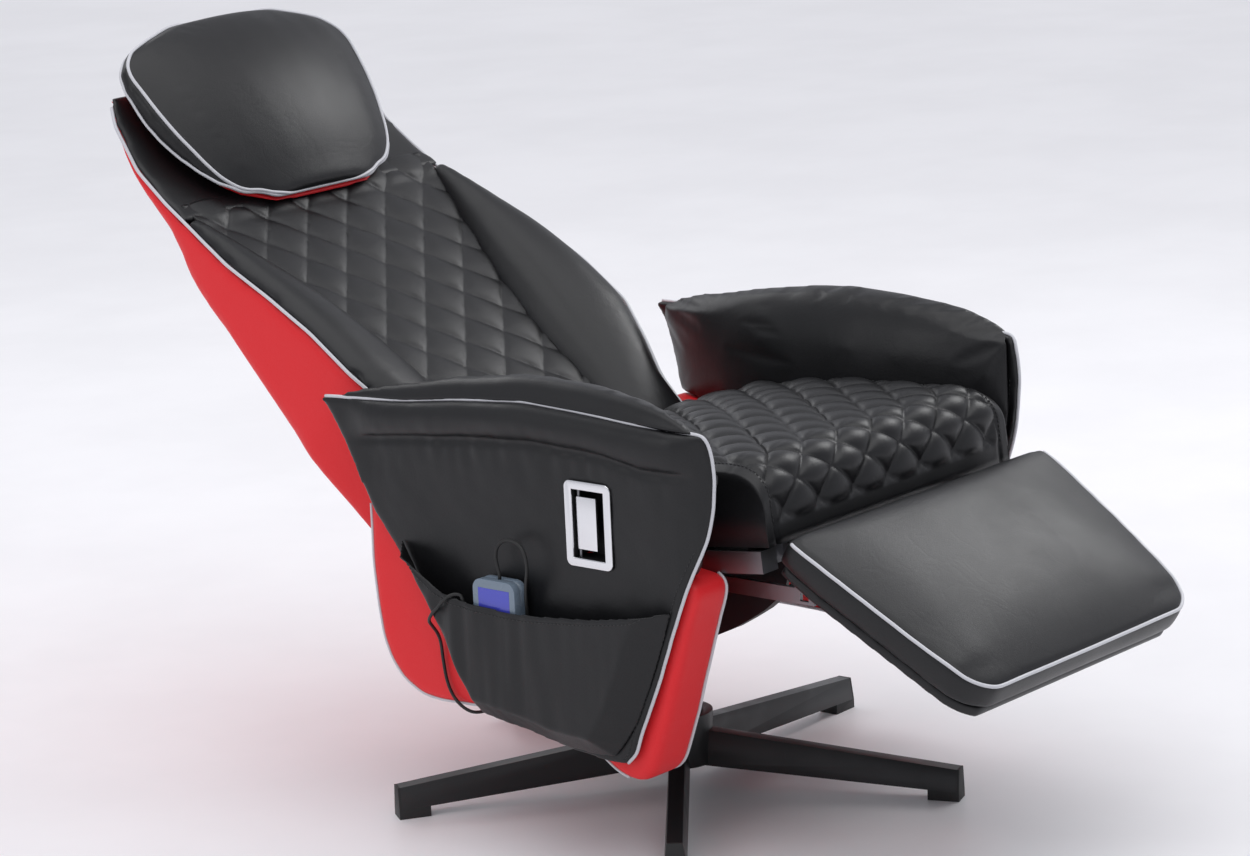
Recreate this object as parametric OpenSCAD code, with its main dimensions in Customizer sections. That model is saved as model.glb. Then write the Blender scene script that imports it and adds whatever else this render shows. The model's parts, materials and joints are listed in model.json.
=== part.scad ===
// Reclining massage armchair on a five-legged swivel base, shown reclined with its footrest raised.
// Lengths are millimetres. The chair faces -Y and +Z is up.
// Modules are drawn round the swivel axis, and the last step moves them so that the
// origin is the middle of the floor area that the chair covers.

/* [Base] */
// Number of legs
leg_count = 5; // [4:1:6]
// Swivel axis to the end of a leg
leg_reach = 348; // [300:1:400]
// How far the base is turned under the seat, degrees
leg_turn = 146.1; // [0:0.1:360]
// Width of a leg's underside
leg_w = 26; // [22:1:32]
// Width of a leg's top
leg_top_w = 18; // [12:1:22]
// Height of a leg at its end
leg_tip_h = 27; // [20:1:34]
// Height of a leg at the hub
leg_root_h = 45; // [38:1:52]
// Floor to the underside of a leg's end
leg_lift = 11; // [8:0.5:14]
// How far the leg rises from its end to the hub
leg_rise = 33; // [25:1:40]
// Thickness of the cap on a leg's end
leg_cap_t = 3; // [2:0.5:5]
// Length of the foot under a leg's end
leg_foot_len = 38; // [28:1:46]
// Thickness of the felt under a foot
felt_t = 2; // [1:0.5:4]
// Diameter of the hub
hub_d = 84; // [76:1:96]
// Height of the hub
hub_h = 62; // [50:1:70]
// Outside diameter of the column tube
column_d = 60; // [54:1:66]
// Wall of the column tube
column_wall = 5; // [3:0.5:6]
// Floor to the top of the column tube
column_top = 215; // [200:1:218]
// Wall of the bush in the column tube
bush_wall = 5; // [3:0.5:7]
// Length of the bush
bush_len = 90; // [60:1:110]
// Radial running clearance of a shaft
running_gap = 0.05; // [0.02:0.01:0.1]

/* [Swivel and seat frame] */
// Side of the square swivel plate
plate_side = 130; // [110:1:140]
// Thickness of the swivel plate
plate_t = 8; // [6:0.5:10]
// Swivel axis forward to the seat's reference edge
seat_front = 318; // [300:1:340]
// Floor to the underside of the seat cushion at its front
seat_h = 382; // [365:1:400]
// Slope of the seat, degrees
seat_slope = 6.5; // [3:0.1:9]
// Height of a frame rail
rail_h = 25; // [20:1:30]
// Width of a side rail
rail_w = 27; // [20:1:30]
// Length of the side rails
rail_len = 392; // [360:1:400]
// Thickness of the mechanism frame's plates
web_t = 5; // [3:0.5:8]
// Half the distance between the side plates of the mechanism frame
web_half = 150; // [130:1:160]
// Width of a seat strap
strap_w = 46; // [36:1:52]
// Thickness of a seat strap
strap_t = 3.5; // [2:0.5:4]
// Number of seat straps
strap_count = 5; // [4:1:6]

/* [Seat cushion] */
// Width of the seat cushion
seat_w = 460; // [440:1:462]
// Depth of the seat cushion
seat_depth = 424; // [400:1:428]
// Thickness of the seat cushion at its thickest
seat_t = 110; // [95:1:120]
// Radius of the rolled front edge
seat_nose_r = 46; // [36:1:52]
// Width of a seat diamond
seat_diamond_w = 64; // [56:1:76]
// Length of a seat diamond
seat_diamond_l = 72; // [60:1:84]
// Depth of the sewn channels
channel_depth = 7; // [3:0.5:10]

/* [Sides and arms] */
// Half the width over the outer panels
side_out = 307; // [300:1:316]
// Thickness of an outer panel
panel_t = 12; // [8:0.5:14]
// Thickness of a padded side
side_t = 63; // [60:0.5:66]
// Highest point of the arm's crown above the floor
arm_h = 560; // [545:1:575]
// Thickness of the arm at its middle
arm_t = 74; // [66:1:74]
// How far the roll under the arm's seam stands out
roll_proud = 8; // [4:0.5:10]
// How far the pocket stands out from the panel
pocket_d = 34; // [32:0.5:40]
// Wall of the pocket
pocket_wall = 3.5; // [2:0.5:5]

/* [Release lever] */
// Width of the bezel
bezel_w = 66; // [60:1:72]
// Height of the bezel
bezel_h = 98; // [90:1:104]
// Width of the bezel's rim
bezel_rim = 10; // [8:0.5:12]
// Depth of the lever's housing
housing_d = 28; // [24:1:32]
// Width of the paddle
paddle_w = 27; // [24:1:30]
// Height of the paddle
paddle_h = 60; // [50:1:64]
// Thickness of the paddle
paddle_t = 4; // [3:0.5:5]
// Diameter of the lever's pin
lever_pin_d = 4; // [3:0.5:5]

/* [Backrest] */
// Slope of the backrest as it stands, degrees above level
back_angle = 34.4; // [30:0.1:40]
// Length of the backrest
back_len = 718; // [700:1:735]
// Half the width of the backrest at its widest
back_half = 250; // [240:1:254]
// Depth of the backrest at its foot
back_deep = 162; // [150:1:170]
// Wall of the backrest's shell
shell_wall = 10; // [6:0.5:12]
// Thickness of the back board
board_t = 12; // [9:0.5:15]
// Thickness of the quilted pad
quilt_t = 37; // [30:1:40]
// Half the width of the quilted pad at its top
quilt_half = 204; // [190:1:208]
// Length of the quilted pad
quilt_len = 508; // [490:1:516]
// Width of a backrest diamond
back_diamond_w = 70; // [60:1:80]
// Length of a backrest diamond
back_diamond_l = 76; // [64:1:88]
// Height of the side bolsters above the quilted pad
bolster_h = 26; // [18:1:32]
// Diameter of a massage motor's housing
motor_d = 66; // [56:1:76]
// Depth of a massage motor's housing
motor_h = 24; // [20:1:26]
// Diameter of the recline pins
recline_pin_d = 14; // [12:0.5:18]

/* [Headrest] */
// Half the width of the headrest
head_half = 190; // [175:1:200]
// Height of the headrest
head_len = 254; // [240:1:270]
// Height of the headrest's crown
head_crown = 40; // [30:1:48]
// Diameter of a headrest post
post_d = 8; // [6:0.5:10]
// Half the distance between the posts
post_half = 70; // [60:1:90]
// Wall of a post's sleeve
sleeve_wall = 2; // [1.5:0.5:3]

/* [Footrest] */
// Slope of the footrest as it stands, degrees below level
foot_tilt = 32.4; // [28:0.1:38]
// Length of the footrest
foot_len = 276; // [260:1:284]
// Half the width of the footrest at the seat
foot_half = 250; // [240:1:256]
// Half the width of the footrest at its far edge
foot_half_end = 213; // [200:1:230]
// Thickness of the footrest's padding
foot_cushion_t = 38; // [32:1:44]
// Thickness of the footrest's board
foot_board_t = 14; // [10:0.5:18]
// Diameter of the footrest's shaft
foot_shaft_d = 12; // [10:0.5:14]

/* [Handset] */
// Width of the handset
handset_w = 62; // [56:1:66]
// Height of the handset
handset_h = 140; // [124:1:150]
// Thickness of the handset
handset_t = 24; // [20:0.5:26]
// Diameter of the handset's cord
cord_d = 4; // [3:0.5:5]

/* [Hidden] */
$fn = 36;

// Colours as the chair has them
black_leather = [0.09, 0.09, 0.1];
red_leather = [0.8, 0.14, 0.16];
silver = [0.82, 0.82, 0.85];
steel = [0.45, 0.45, 0.47];
black_steel = [0.07, 0.07, 0.08];
plywood = [0.72, 0.56, 0.36];
chrome = [0.8, 0.8, 0.82];
grey_blue = [0.38, 0.44, 0.5];
rubber = [0.05, 0.05, 0.05];
nylon = [0.85, 0.85, 0.8];

// Clearances and overrun
seat_gap = 0.3;
slide_gap = 0.5;
cut = 1;

// Derived places
side_in = side_out - panel_t - side_t;
bush_bore_r = column_d / 2 - column_wall - bush_wall;
spindle_r = bush_bore_r - running_gap;
washer_t = 4;
plate_z = column_top + washer_t;
plate_top = plate_z + plate_t;
leg_root_z = leg_lift + leg_tip_h + leg_rise - leg_root_h;

// The seat's own frame: u runs back along the seat, v stands square to it
function seat_pt(u, v) = [u * cos(seat_slope) + v * sin(seat_slope) - seat_front,
    seat_h - u * sin(seat_slope) + v * cos(seat_slope)];
module in_seat() { translate([0, -seat_front, seat_h]) rotate([-seat_slope, 0, 0]) children(); }

// The backrest's own frame: s runs up the back, t stands square to its front
back_foot_y = 118;
back_foot_z = 375;
function back_pt(s, t) = [back_foot_y + s * cos(back_angle) - t * sin(back_angle),
    back_foot_z + s * sin(back_angle) + t * cos(back_angle)];
module in_back() {
    translate([0, back_foot_y, back_foot_z]) rotate([back_angle, 0, 0]) children();
}
back_half_shares = [[0, 0.86], [0.12, 0.86], [0.2, 0.93], [0.28, 1], [0.41, 1], [0.51, 0.99], [0.6, 0.972],
    [0.69, 0.93], [0.78, 0.9], [0.87, 0.885], [0.95, 0.87], [1, 0.81]];
pivot_y = 150;
pivot_z = 378;

// The footrest's own frame: p runs out along the footrest, q stands square to its top
foot_y = -365;
foot_z = 404;
function foot_pt(p, q) = [foot_y - p * cos(foot_tilt) - q * sin(foot_tilt),
    foot_z - p * sin(foot_tilt) + q * cos(foot_tilt)];
module in_footrest() {
    translate([0, foot_y, foot_z]) rotate([foot_tilt, 0, 0]) rotate([0, 0, 180]) children();
}
hinge_p = -22;
hinge_q = -52;
hinge = foot_pt(hinge_p, hinge_q);

// Solid through closed rings of points that all have the same count
function ring_mean(r) = [for (k = [0:2]) sum_of([for (p = r) p[k]]) / len(r)];
function sum_of(v, i = 0) = i < len(v) ? v[i] + sum_of(v, i + 1) : 0;
function ring_normal(r) = let (c = ring_mean(r), n = len(r))
    [for (k = [0:2]) sum_of([for (j = [0:n - 1]) cross(r[j] - c, r[(j + 1) % n] - c)[k]])];
function reversed(v) = [for (i = [len(v) - 1:-1:0]) v[i]];
function outward(rings) = let (i = floor(len(rings) / 2))
    ring_normal(rings[i]) * (ring_mean(rings[i]) - ring_mean(rings[i - 1])) > 0
        ? [for (r = rings) reversed(r)] : rings;
module loft(given_rings, shorter = false) {
    rings = outward(given_rings);
    n = len(rings[0]);
    m = len(rings);
    points = concat([for (r = rings) each r], [ring_mean(rings[0]), ring_mean(rings[m - 1])]);
    sides = [for (i = [0:m - 2]) for (j = [0:n - 1])
        let (a = i * n + j, b = i * n + (j + 1) % n)
        each shorter && norm(points[b] - points[a + n]) < norm(points[a] - points[b + n])
            ? [[a, b, a + n], [b, b + n, a + n]] : [[a, b, b + n], [a, b + n, a + n]]];
    first = [for (j = [0:n - 1]) [n * m, (j + 1) % n, j]];
    last = [for (j = [0:n - 1]) [n * m + 1, (m - 1) * n + j, (m - 1) * n + (j + 1) % n]];
    polyhedron(points, concat(sides, first, last));
}
// Slab with the outline given in Y and Z, between two places along X
module yz_plate(outline, x0, x1) {
    translate([x0, 0, 0]) rotate([90, 0, 90]) linear_extrude(x1 - x0) polygon(outline);
}
module both_sides() { children(); mirror([1, 0, 0]) children(); }
function at_x(x, yz) = [x, yz[0], yz[1]];

// Round tube with flat ends, swept along a route of points
function unit(v) = v / norm(v);
function tangent(r, i) = unit(r[min(i + 1, len(r) - 1)] - r[max(i - 1, 0)]);
function carried(normal, t) = unit(normal - (normal * t) * t);
function frames(r, i = 0, normal = [0.02, 0.11, 0.99]) = i >= len(r) ? []
    : let (t = tangent(r, i), n = carried(normal, t))
      concat([[r[i], n, cross(t, n)]], frames(r, i + 1, n));
module swept_tube(route, d, sides) {
    loft([for (f = frames(route)) [for (k = [0:sides - 1])
        f[0] + d / 2 * (cos(360 * k / sides) * f[1] + sin(360 * k / sides) * f[2])]]);
}
// Base
module each_leg() { for (i = [0:leg_count - 1]) rotate([0, 0, leg_turn + i * 360 / leg_count]) children(); }
function leg_ring(x, z, h) = [[x, -leg_w / 2, z], [x, leg_w / 2, z], [x, leg_top_w / 2, z + h], [x, -leg_top_w / 2, z + h]];
leg_end = leg_reach - leg_cap_t;
function leg_z(x) = leg_lift + (leg_root_z - leg_lift) * (1 - x / leg_end);
function leg_h(x) = leg_tip_h + (leg_root_h - leg_tip_h) * (1 - x / leg_end);
module base_legs() {
    color(black_steel) difference() {
        union() {
            each_leg() loft([leg_ring(0, leg_root_z, leg_root_h), leg_ring(leg_end, leg_lift, leg_tip_h)]);
            translate([0, 0, leg_root_z]) cylinder(d = hub_d, h = hub_h);
        }
        translate([0, 0, -cut]) cylinder(d = column_d, h = column_top);
    }
}
// Cap over a leg's end, with the foot below it
module leg_caps() {
    heel = leg_reach - leg_foot_len;
    color(rubber) each_leg() {
        loft([leg_ring(leg_end, leg_lift, leg_tip_h), leg_ring(leg_reach, leg_lift, leg_tip_h)]);
        translate([0, leg_w / 2, 0]) rotate([90, 0, 0]) linear_extrude(leg_w)
            polygon([[heel, felt_t], [leg_reach, felt_t], [leg_reach, leg_lift], [leg_end, leg_lift],
                [heel, leg_z(heel)]]);
    }
}
module foot_pads() {
    color(rubber) each_leg() translate([leg_reach - leg_foot_len, -leg_w / 2, 0])
        cube([leg_foot_len, leg_w, felt_t]);
}
module column_tube() {
    color(black_steel) difference() {
        translate([0, 0, leg_root_z]) cylinder(d = column_d, h = column_top - leg_root_z);
        translate([0, 0, leg_root_z - cut]) cylinder(d = column_d - 2 * column_wall, h = column_top);
    }
}
module column_bush() {
    color(nylon) translate([0, 0, column_top - bush_len]) difference() {
        cylinder(r = bush_bore_r + bush_wall, h = bush_len);
        translate([0, 0, -cut]) cylinder(r = bush_bore_r, h = bush_len + 2 * cut);
    }
}
module thrust_washer() {
    color(nylon) translate([0, 0, column_top]) difference() {
        cylinder(d = column_d, h = washer_t - running_gap);
        translate([0, 0, -cut]) cylinder(r = bush_bore_r, h = washer_t + 2 * cut);
    }
}
// Swivel
module swivel_spindle() {
    color(steel) translate([0, 0, column_top - bush_len - cut])
        cylinder(r = spindle_r, h = bush_len + cut + washer_t);
}
module swivel_plate() {
    color(black_steel) translate([-plate_side / 2, -plate_side / 2, plate_z])
        cube([plate_side, plate_side, plate_t]);
}
bolt_head_d = 16;
bolt_head_h = 7;
module plate_bolts() {
    color(steel) for (x = [-1, 1]) for (y = [-1, 1])
        translate([x * (plate_side / 2 - bolt_head_d), y * (plate_side / 2 - bolt_head_d), plate_top + web_t])
            cylinder(d = bolt_head_d, h = bolt_head_h, $fn = 6);
}

// Seat frame
strap_top = -seat_gap;
rail_top = strap_top - strap_t;
rail_bottom = rail_top - rail_h;
rail_out = side_in - seat_gap;
cross_front_u = 110;
cross_rear_u = 330;
front_rail_u = 22;
ear_t = 6;
ear_half = 163;
ear_r = 11;
module seat_frame() {
    color(steel) union() {
        in_seat() {
            both_sides() translate([rail_out - rail_w, 0, rail_bottom]) cube([rail_w, rail_len, rail_h]);
            for (u = [front_rail_u, cross_front_u, cross_rear_u])
                translate([-rail_out, u, rail_bottom]) cube([2 * rail_out, rail_w, rail_h]);
        }
        difference() {
            both_sides() yz_plate([seat_pt(front_rail_u + rail_w / 2, rail_top - ear_t),
                seat_pt(front_rail_u + rail_w / 2, rail_bottom + ear_t / 2),
                [hinge[0], hinge[1] - ear_r], [hinge[0] - ear_r, hinge[1]], [hinge[0], hinge[1] + ear_r / 2]],
                ear_half - ear_t / 2, ear_half + ear_t / 2);
            translate(at_x(-side_out, hinge)) rotate([0, 90, 0]) cylinder(d = foot_shaft_d, h = 2 * side_out);
        }
    }
}
shaft_half = 184;
module footrest_shaft() {
    color(steel) translate(at_x(-shaft_half, hinge)) rotate([0, 90, 0])
        cylinder(d = foot_shaft_d, h = 2 * shaft_half);
}
web_line = [[-291, 313], [-283, 304], [-260, 285], [-238, 271], [-216, 258], [-184, 243], [-140, 231], [-90, 225],
    [90, 225], [110, 250]];
lip_w = 12;
module mechanism_frame() {
    bottom = plate_top;
    web_top = [seat_pt(cross_rear_u + rail_w, rail_bottom), seat_pt(front_rail_u, rail_bottom)];
    color(black_steel) difference() {
        union() {
            both_sides() {
                yz_plate(concat(web_line, web_top), web_half, web_half + web_t);
                yz_plate(concat(web_line, reversed(inset_up(web_line, web_t))), web_half - lip_w, web_half);
            }
            translate([-web_half, -plate_side / 2, bottom]) cube([2 * web_half, plate_side, web_t]);
        }
        translate([-side_in, link_tube_y - link_tube_d / 2 - slide_gap, link_tube_z - link_tube_d / 2 - slide_gap])
            cube([2 * side_in, link_tube_d + link_travel + 2 * slide_gap, link_tube_d + 2 * slide_gap]);
    }
}
strap_half = 226;
module seat_straps() {
    pitch = (rail_len - front_rail_u - strap_w) / (strap_count - 1);
    color(black_leather) in_seat() for (i = [0:strap_count - 1])
        translate([-strap_half, front_rail_u + i * pitch, rail_top]) cube([2 * strap_half, strap_w, strap_t]);
}
seat_motor_u = 220;
seat_motor_half = 110;
module seat_motors() {
    color(black_steel) in_seat() for (x = [-1, 1])
        translate([x * seat_motor_half, seat_motor_u, rail_top - motor_h]) cylinder(d = motor_d, h = motor_h);
}

// Seat cushion: rings across the chair, each a profile of the seat
nose_u = -14;
seat_top_shares = [[0, 0.79], [0.12, 0.9], [0.52, 1], [0.8, 0.95], [1, 0.8]];
function seat_top(u) = seat_t * lookup((u - nose_u) / seat_depth, seat_top_shares);
function puff(a, b) = sqrt(abs(sin(180 * (a + b)) * sin(180 * (a - b))));
nose_steps = 5;
face_steps = 2;
seat_rows = 21;
face_low = 18;
nose_top = seat_top(nose_u + seat_nose_r);
function seat_row(k) =
    k < face_steps ? [nose_u, face_low + (nose_top - seat_nose_r - face_low) * k / face_steps, 180]
    : k < face_steps + nose_steps
        ? let (a = 180 - 90 * (k - face_steps) / nose_steps)
          [nose_u + seat_nose_r * (1 + cos(a)), nose_top - seat_nose_r + seat_nose_r * sin(a), a]
    : let (u = nose_u + seat_nose_r + (seat_depth - seat_nose_r) * (k - face_steps - nose_steps) / seat_rows)
      [u, seat_top(u), 90];
seat_cells = 28;
module seat_cushion() {
    last = face_steps + nose_steps + seat_rows;
    quilt_half_w = seat_cells * seat_diamond_w / 8;
    border = seat_w / 2 - quilt_half_w;
    xs = concat([-seat_w / 2], [for (j = [0:seat_cells]) -quilt_half_w + j * seat_diamond_w / 4], [seat_w / 2]);
    rings = [for (x = xs)
        let (rim = abs(x) > quilt_half_w ? 0.86 : abs(x) > quilt_half_w - seat_diamond_w / 2 ? 0.97 : 1)
        concat([[x, nose_u + seat_depth, 0], [x, nose_u + seat_nose_r, 0]],
            [for (k = [0:last]) let (p = seat_row(k),
                lift = abs(x) > quilt_half_w || k == 0 || k == last ? 0
                    : channel_depth * (puff(x / seat_diamond_w, (k - face_steps / 2) / 4) - 1))
                [x, p[0] + lift * cos(p[2]), p[1] * rim + lift * sin(p[2])]])];
    color(black_leather) in_seat() loft(rings);
}

function inset_up(line, t) = [for (i = [0:len(line) - 1]) let (d = tangent(line, i)) line[i] + t * [-d[1], d[0]]];

// Padded sides, outlines in Y and Z
side_outline = [[-262, 350], [-272, 344], [-275, 334], [-271, 318], [-265, 303], [-254, 269], [-239, 220], [-228, 184],
    [-206, 126], [-196, 114], [-184, 109], [-168, 110], [-150, 116], [-120, 136],
    [-80, 152], [-40, 159], [20, 160], [110, 156], [140, 159], [168, 174], [186, 196], [197, 222],
    [203, 260], [206, 305], [206, 398]];
side_top_line = [[-262, 350], [206, 398]];
module side_body(x0, x1) {
    hull_in = 5;
    translate([x0 + hull_in, 0, 0]) rotate([90, 0, 90]) linear_extrude(x1 - x0 - 2 * hull_in) polygon(side_outline);
    translate([x0, 0, 0]) rotate([90, 0, 90]) linear_extrude(x1 - x0) offset(delta = -hull_in)
        polygon(side_outline);
}
module panel_space() {
    linear_extrude(arm_h) polygon(concat([for (y = panel_ys) [panel_t - panel_out(y), y]],
        [[-side_out - pocket_d, panel_ys[len(panel_ys) - 1]], [-side_out - pocket_d, panel_ys[0]]]));
}
module side_right() {
    color(red_leather) difference() {
        side_body(-side_out + panel_t, -side_in);
        panel_space();
        housing_cut();
    }
}
module side_left() {
    color(red_leather) difference() {
        side_body(side_in, side_out - panel_t);
        mirror([1, 0, 0]) panel_space();
    }
}

// Arm: the outer panel's outline, the roll along its top and the padded crown inside it
panel_top_line = [[-295, 517], [-219, 522], [-134, 527], [-47, 530], [58, 521], [135, 511], [222, 506], [261, 505]];
panel_front_line = [[-176, 132], [-190, 146], [-199, 171], [-224, 226], [-265, 336], [-284, 378], [-294, 401],
    [-301, 436], [-304, 467], [-302, 492]];
panel_rear_line = [[247, 489], [226, 455], [189, 377], [149, 328], [120, 294], [100, 270], [87, 244], [77, 223], [67, 201],
    [51, 172], [37, 161]];
panel_bottom_line = [[11, 155], [-37, 147], [-81, 138], [-140, 131], [-160, 130]];
panel_high_line = concat([panel_front_line[8], panel_front_line[9]], panel_top_line);
panel_low_line = concat([panel_front_line[8]], reversed([for (i = [0:7]) panel_front_line[i]]),
    reversed(panel_bottom_line), reversed(panel_rear_line), [panel_top_line[7]]);
// How far the panel's outer face lies from the middle of the chair, front to rear
panel_out_line = [[-304, -15], [-285, -7], [-262, -2], [-230, 0], [189, 0], [261, 5]];
function panel_out(y) = side_out + lookup(y, panel_out_line);
function line_z(line, y) = lookup(y, line);
crease_line = [[-290, 474], [-216, 474], [-160, 484], [-59, 488], [31, 482], [138, 471], [217, 461]];
panel_ys = [-303.5, -302, -300, -295, -290, -285, -274, -262, -246, -230, -224, -199, -190, -176, -150, -100, -53, -37, 0, 11, 37, 51, 67, 77, 87,
    100, 120, 149, 189, 226, 247, 256];
// The roll under the arm's seam is part of each section
function roll_at(y) = let (f = (y - crease_line[0][0]) / (crease_line[len(crease_line) - 1][0] - crease_line[0][0]))
    roll_proud * pow(max(0, sin(180 * max(0, min(1, f)))), 0.4);
module outer_panel() {
    loft([for (y = panel_ys) let (x = -panel_out(y), inner = x + panel_t - seat_gap, low = line_z(panel_low_line, y),
        high = line_z(panel_high_line, y), crease = max(low + cut, min(high - 2 * roll_proud, line_z(crease_line, y))))
        concat([[x, y, low]], [for (a = [0:30:180]) [x - roll_at(y) * sin(a), y, crease + (high - cut - crease) * (1 - cos(a)) / 2]],
            [[x, y, high], [inner, y, high], [inner, y, low]])]);
}
module outer_panel_right() {
    color(black_leather) difference() {
        outer_panel();
        housing_cut();
    }
}
module outer_panel_left() { color(black_leather) mirror([1, 0, 0]) outer_panel(); }

arm_front = -296;
arm_rear = 244;
arm_front_low_line = [[-296, 430], [-290, 405], [-278, 378], [-263, 351]];
function arm_low(y) = y < -262 ? line_z(arm_front_low_line, y) : y < 206 ? line_z(side_top_line, y) + seat_gap
    : line_z([[206, 400], [226, 458], [244, 486]], y);
arm_crown_shares = [[0, 0.06], [0.06, 0.5], [0.14, 0.84], [0.3, 1], [0.5, 0.95], [0.7, 0.8], [0.86, 0.6], [0.95, 0.4],
    [1, 0.05]];
arm_thick_shares = [[0, 0.04], [0.05, 0.4], [0.12, 0.66], [0.22, 0.88], [0.38, 1], [0.64, 1], [0.8, 0.6], [0.9, 0.38],
    [1, 0.05]];
arm_ys = [arm_front, -292, -285, -278, -270, -262, -246, -230, -200, -165, -130, -95, -60, -25, 10, 45, 80, 115, 149, 189, 206,
    218, 232, arm_rear];
module arm_pad() {
    lift = arm_h - 527;
    loft([for (y = arm_ys) let (f = (y - arm_front) / (arm_rear - arm_front), x = panel_t - panel_out(y),
        low = arm_low(y), rim = line_z(panel_high_line, y) - cut,
        thick = (arm_t - panel_t) * lookup(f, arm_thick_shares), crown = rim + lift * lookup(f, arm_crown_shares))
        [[x, y, low], [x, y, rim],
         [x + thick * 0.12, y, rim + (crown - rim) * 0.75], [x + thick * 0.3, y, crown],
         [x + thick * 0.55, y, crown - (crown - rim) * 0.2], [x + thick * 0.8, y, rim - (rim - low) * 0.02],
         [x + thick * 0.95, y, rim - (rim - low) * 0.2], [x + thick, y, rim - (rim - low) * 0.5],
         [x + thick * 0.97, y, low]]]);
}
module arm_pad_right() {
    color(black_leather) difference() {
        arm_pad();
        housing_cut();
    }
}
module arm_pad_left() { color(black_leather) mirror([1, 0, 0]) arm_pad(); }

// Pocket on the right panel: its rear, lower and front edges in one line, and the edge of its mouth.
// Each ring runs across the pocket's wall, from the panel to the mouth and back inside.
pocket_edge = [[146, 352], [132, 323], [120, 297], [103, 272], [87, 247], [75, 222], [62, 196], [48, 175], [32, 158], [0, 153],
    [-37, 149], [-70, 143], [-100, 138], [-135, 137], [-165, 138], [-184, 160], [-200, 184], [-222, 232], [-243, 286], [-253, 321]];
mouth_line = [[-253, 321], [-165, 306], [-62, 296], [12, 298], [57, 305], [95, 327], [146, 352]];
pocket_slant = 30;
pocket_rim = 2;
function pocket_line(inset) = [for (p = inset_up(pocket_edge, -inset))
    [p[0], min(p[1], line_z(mouth_line, p[0]) - pocket_rim)]];
module side_pocket() {
    x0 = -side_out - seat_gap;
    x1 = -side_out - pocket_d;
    at_panel = pocket_line(0);
    in_panel = pocket_line(pocket_wall);
    at_face = pocket_line(pocket_slant);
    in_face = pocket_line(pocket_slant + pocket_wall);
    color(black_leather) loft([for (i = [0:len(pocket_edge) - 1]) let (high = line_z(mouth_line, at_face[i][0]))
        [[x1, at_face[i][0], high], [x1 + pocket_wall, in_face[i][0], line_z(mouth_line, in_face[i][0])],
         at_x(x1 + pocket_wall, in_face[i]), at_x(x0, in_panel[i]), at_x(x0, at_panel[i]), at_x(x1, at_face[i])]],
        shorter = true);
}

// Release lever in its housing
lever_y = -140;
lever_z = 402;
bezel_t = 3;
module plate_at(w, h, r) {
    hull() for (y = [-1, 1]) for (z = [-1, 1])
        translate([0, y * (w / 2 - r), z * (h / 2 - r)]) rotate([0, 90, 0]) cylinder(r = r, h = 1, $fn = 32);
}
bezel_r = 8;
housing_w = bezel_w - 2 * bezel_rim + 6;
housing_h = bezel_h - 2 * bezel_rim + 6;
housing_wall = 2;
module housing_cut() {
    translate([-side_out - cut, lever_y - housing_w / 2 - seat_gap, lever_z - housing_h / 2 - seat_gap])
        cube([housing_d + cut + seat_gap, housing_w + 2 * seat_gap, housing_h + 2 * seat_gap]);
}
module lever_bezel() {
    color(chrome) translate([-side_out - bezel_t - seat_gap, lever_y, lever_z]) difference() {
        scale([bezel_t, 1, 1]) plate_at(bezel_w, bezel_h, bezel_r);
        translate([-cut, -bezel_w / 2 + bezel_rim, -bezel_h / 2 + bezel_rim])
            cube([bezel_t + 2 * cut, bezel_w - 2 * bezel_rim, bezel_h - 2 * bezel_rim]);
    }
}
lever_axis_x = -side_out + 6;
lever_axis_y = lever_y + bezel_w / 2 - bezel_rim - lever_pin_d;
rod_d = 3;
module lever_housing() {
    color(black_steel) translate([-side_out, lever_y, lever_z]) {
        difference() {
            translate([0, -housing_w / 2, -housing_h / 2]) cube([housing_d, housing_w, housing_h]);
            translate([-cut, -housing_w / 2 + housing_wall, -housing_h / 2 + housing_wall])
                cube([housing_d - housing_wall + cut, housing_w - 2 * housing_wall, housing_h - 2 * housing_wall]);
            translate([lever_axis_x + side_out, lever_axis_y - lever_y, -housing_h]) cylinder(d = lever_pin_d, h = 2 * housing_h);
        }
        for (y = [-1.5, 1.5]) translate([housing_d - housing_wall - 3 * rod_d, y * rod_d - housing_w / 4, -housing_h / 2 + housing_wall])
            cylinder(d = rod_d, h = housing_h - 2 * housing_wall);
    }
}
module lever_pin() {
    color(steel) translate([lever_axis_x, lever_axis_y, lever_z - housing_h / 2])
        cylinder(d = lever_pin_d, h = housing_h);
}
module lever_paddle() {
    knuckle_r = lever_pin_d / 2 + 2;
    color(chrome) difference() {
        union() {
            translate([lever_axis_x, lever_axis_y, lever_z - paddle_h / 2]) cylinder(r = knuckle_r, h = paddle_h);
            translate([lever_axis_x - knuckle_r, lever_axis_y - paddle_w, lever_z - paddle_h / 2])
                cube([paddle_t, paddle_w, paddle_h]);
        }
        translate([lever_axis_x, lever_axis_y, lever_z - paddle_h])
            cylinder(r = lever_pin_d / 2 + running_gap, h = 2 * paddle_h);
    }
}

// Bumpers on the sides' rear edges
bumper_d = 22;
bumper_h = 9;
bumper_z = 302;
module rear_bumpers() {
    color(rubber) both_sides() translate([side_in + side_t / 2, 206, bumper_z]) rotate([-90, 0, 0])
        cylinder(d = bumper_d, h = bumper_h);
}

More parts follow.
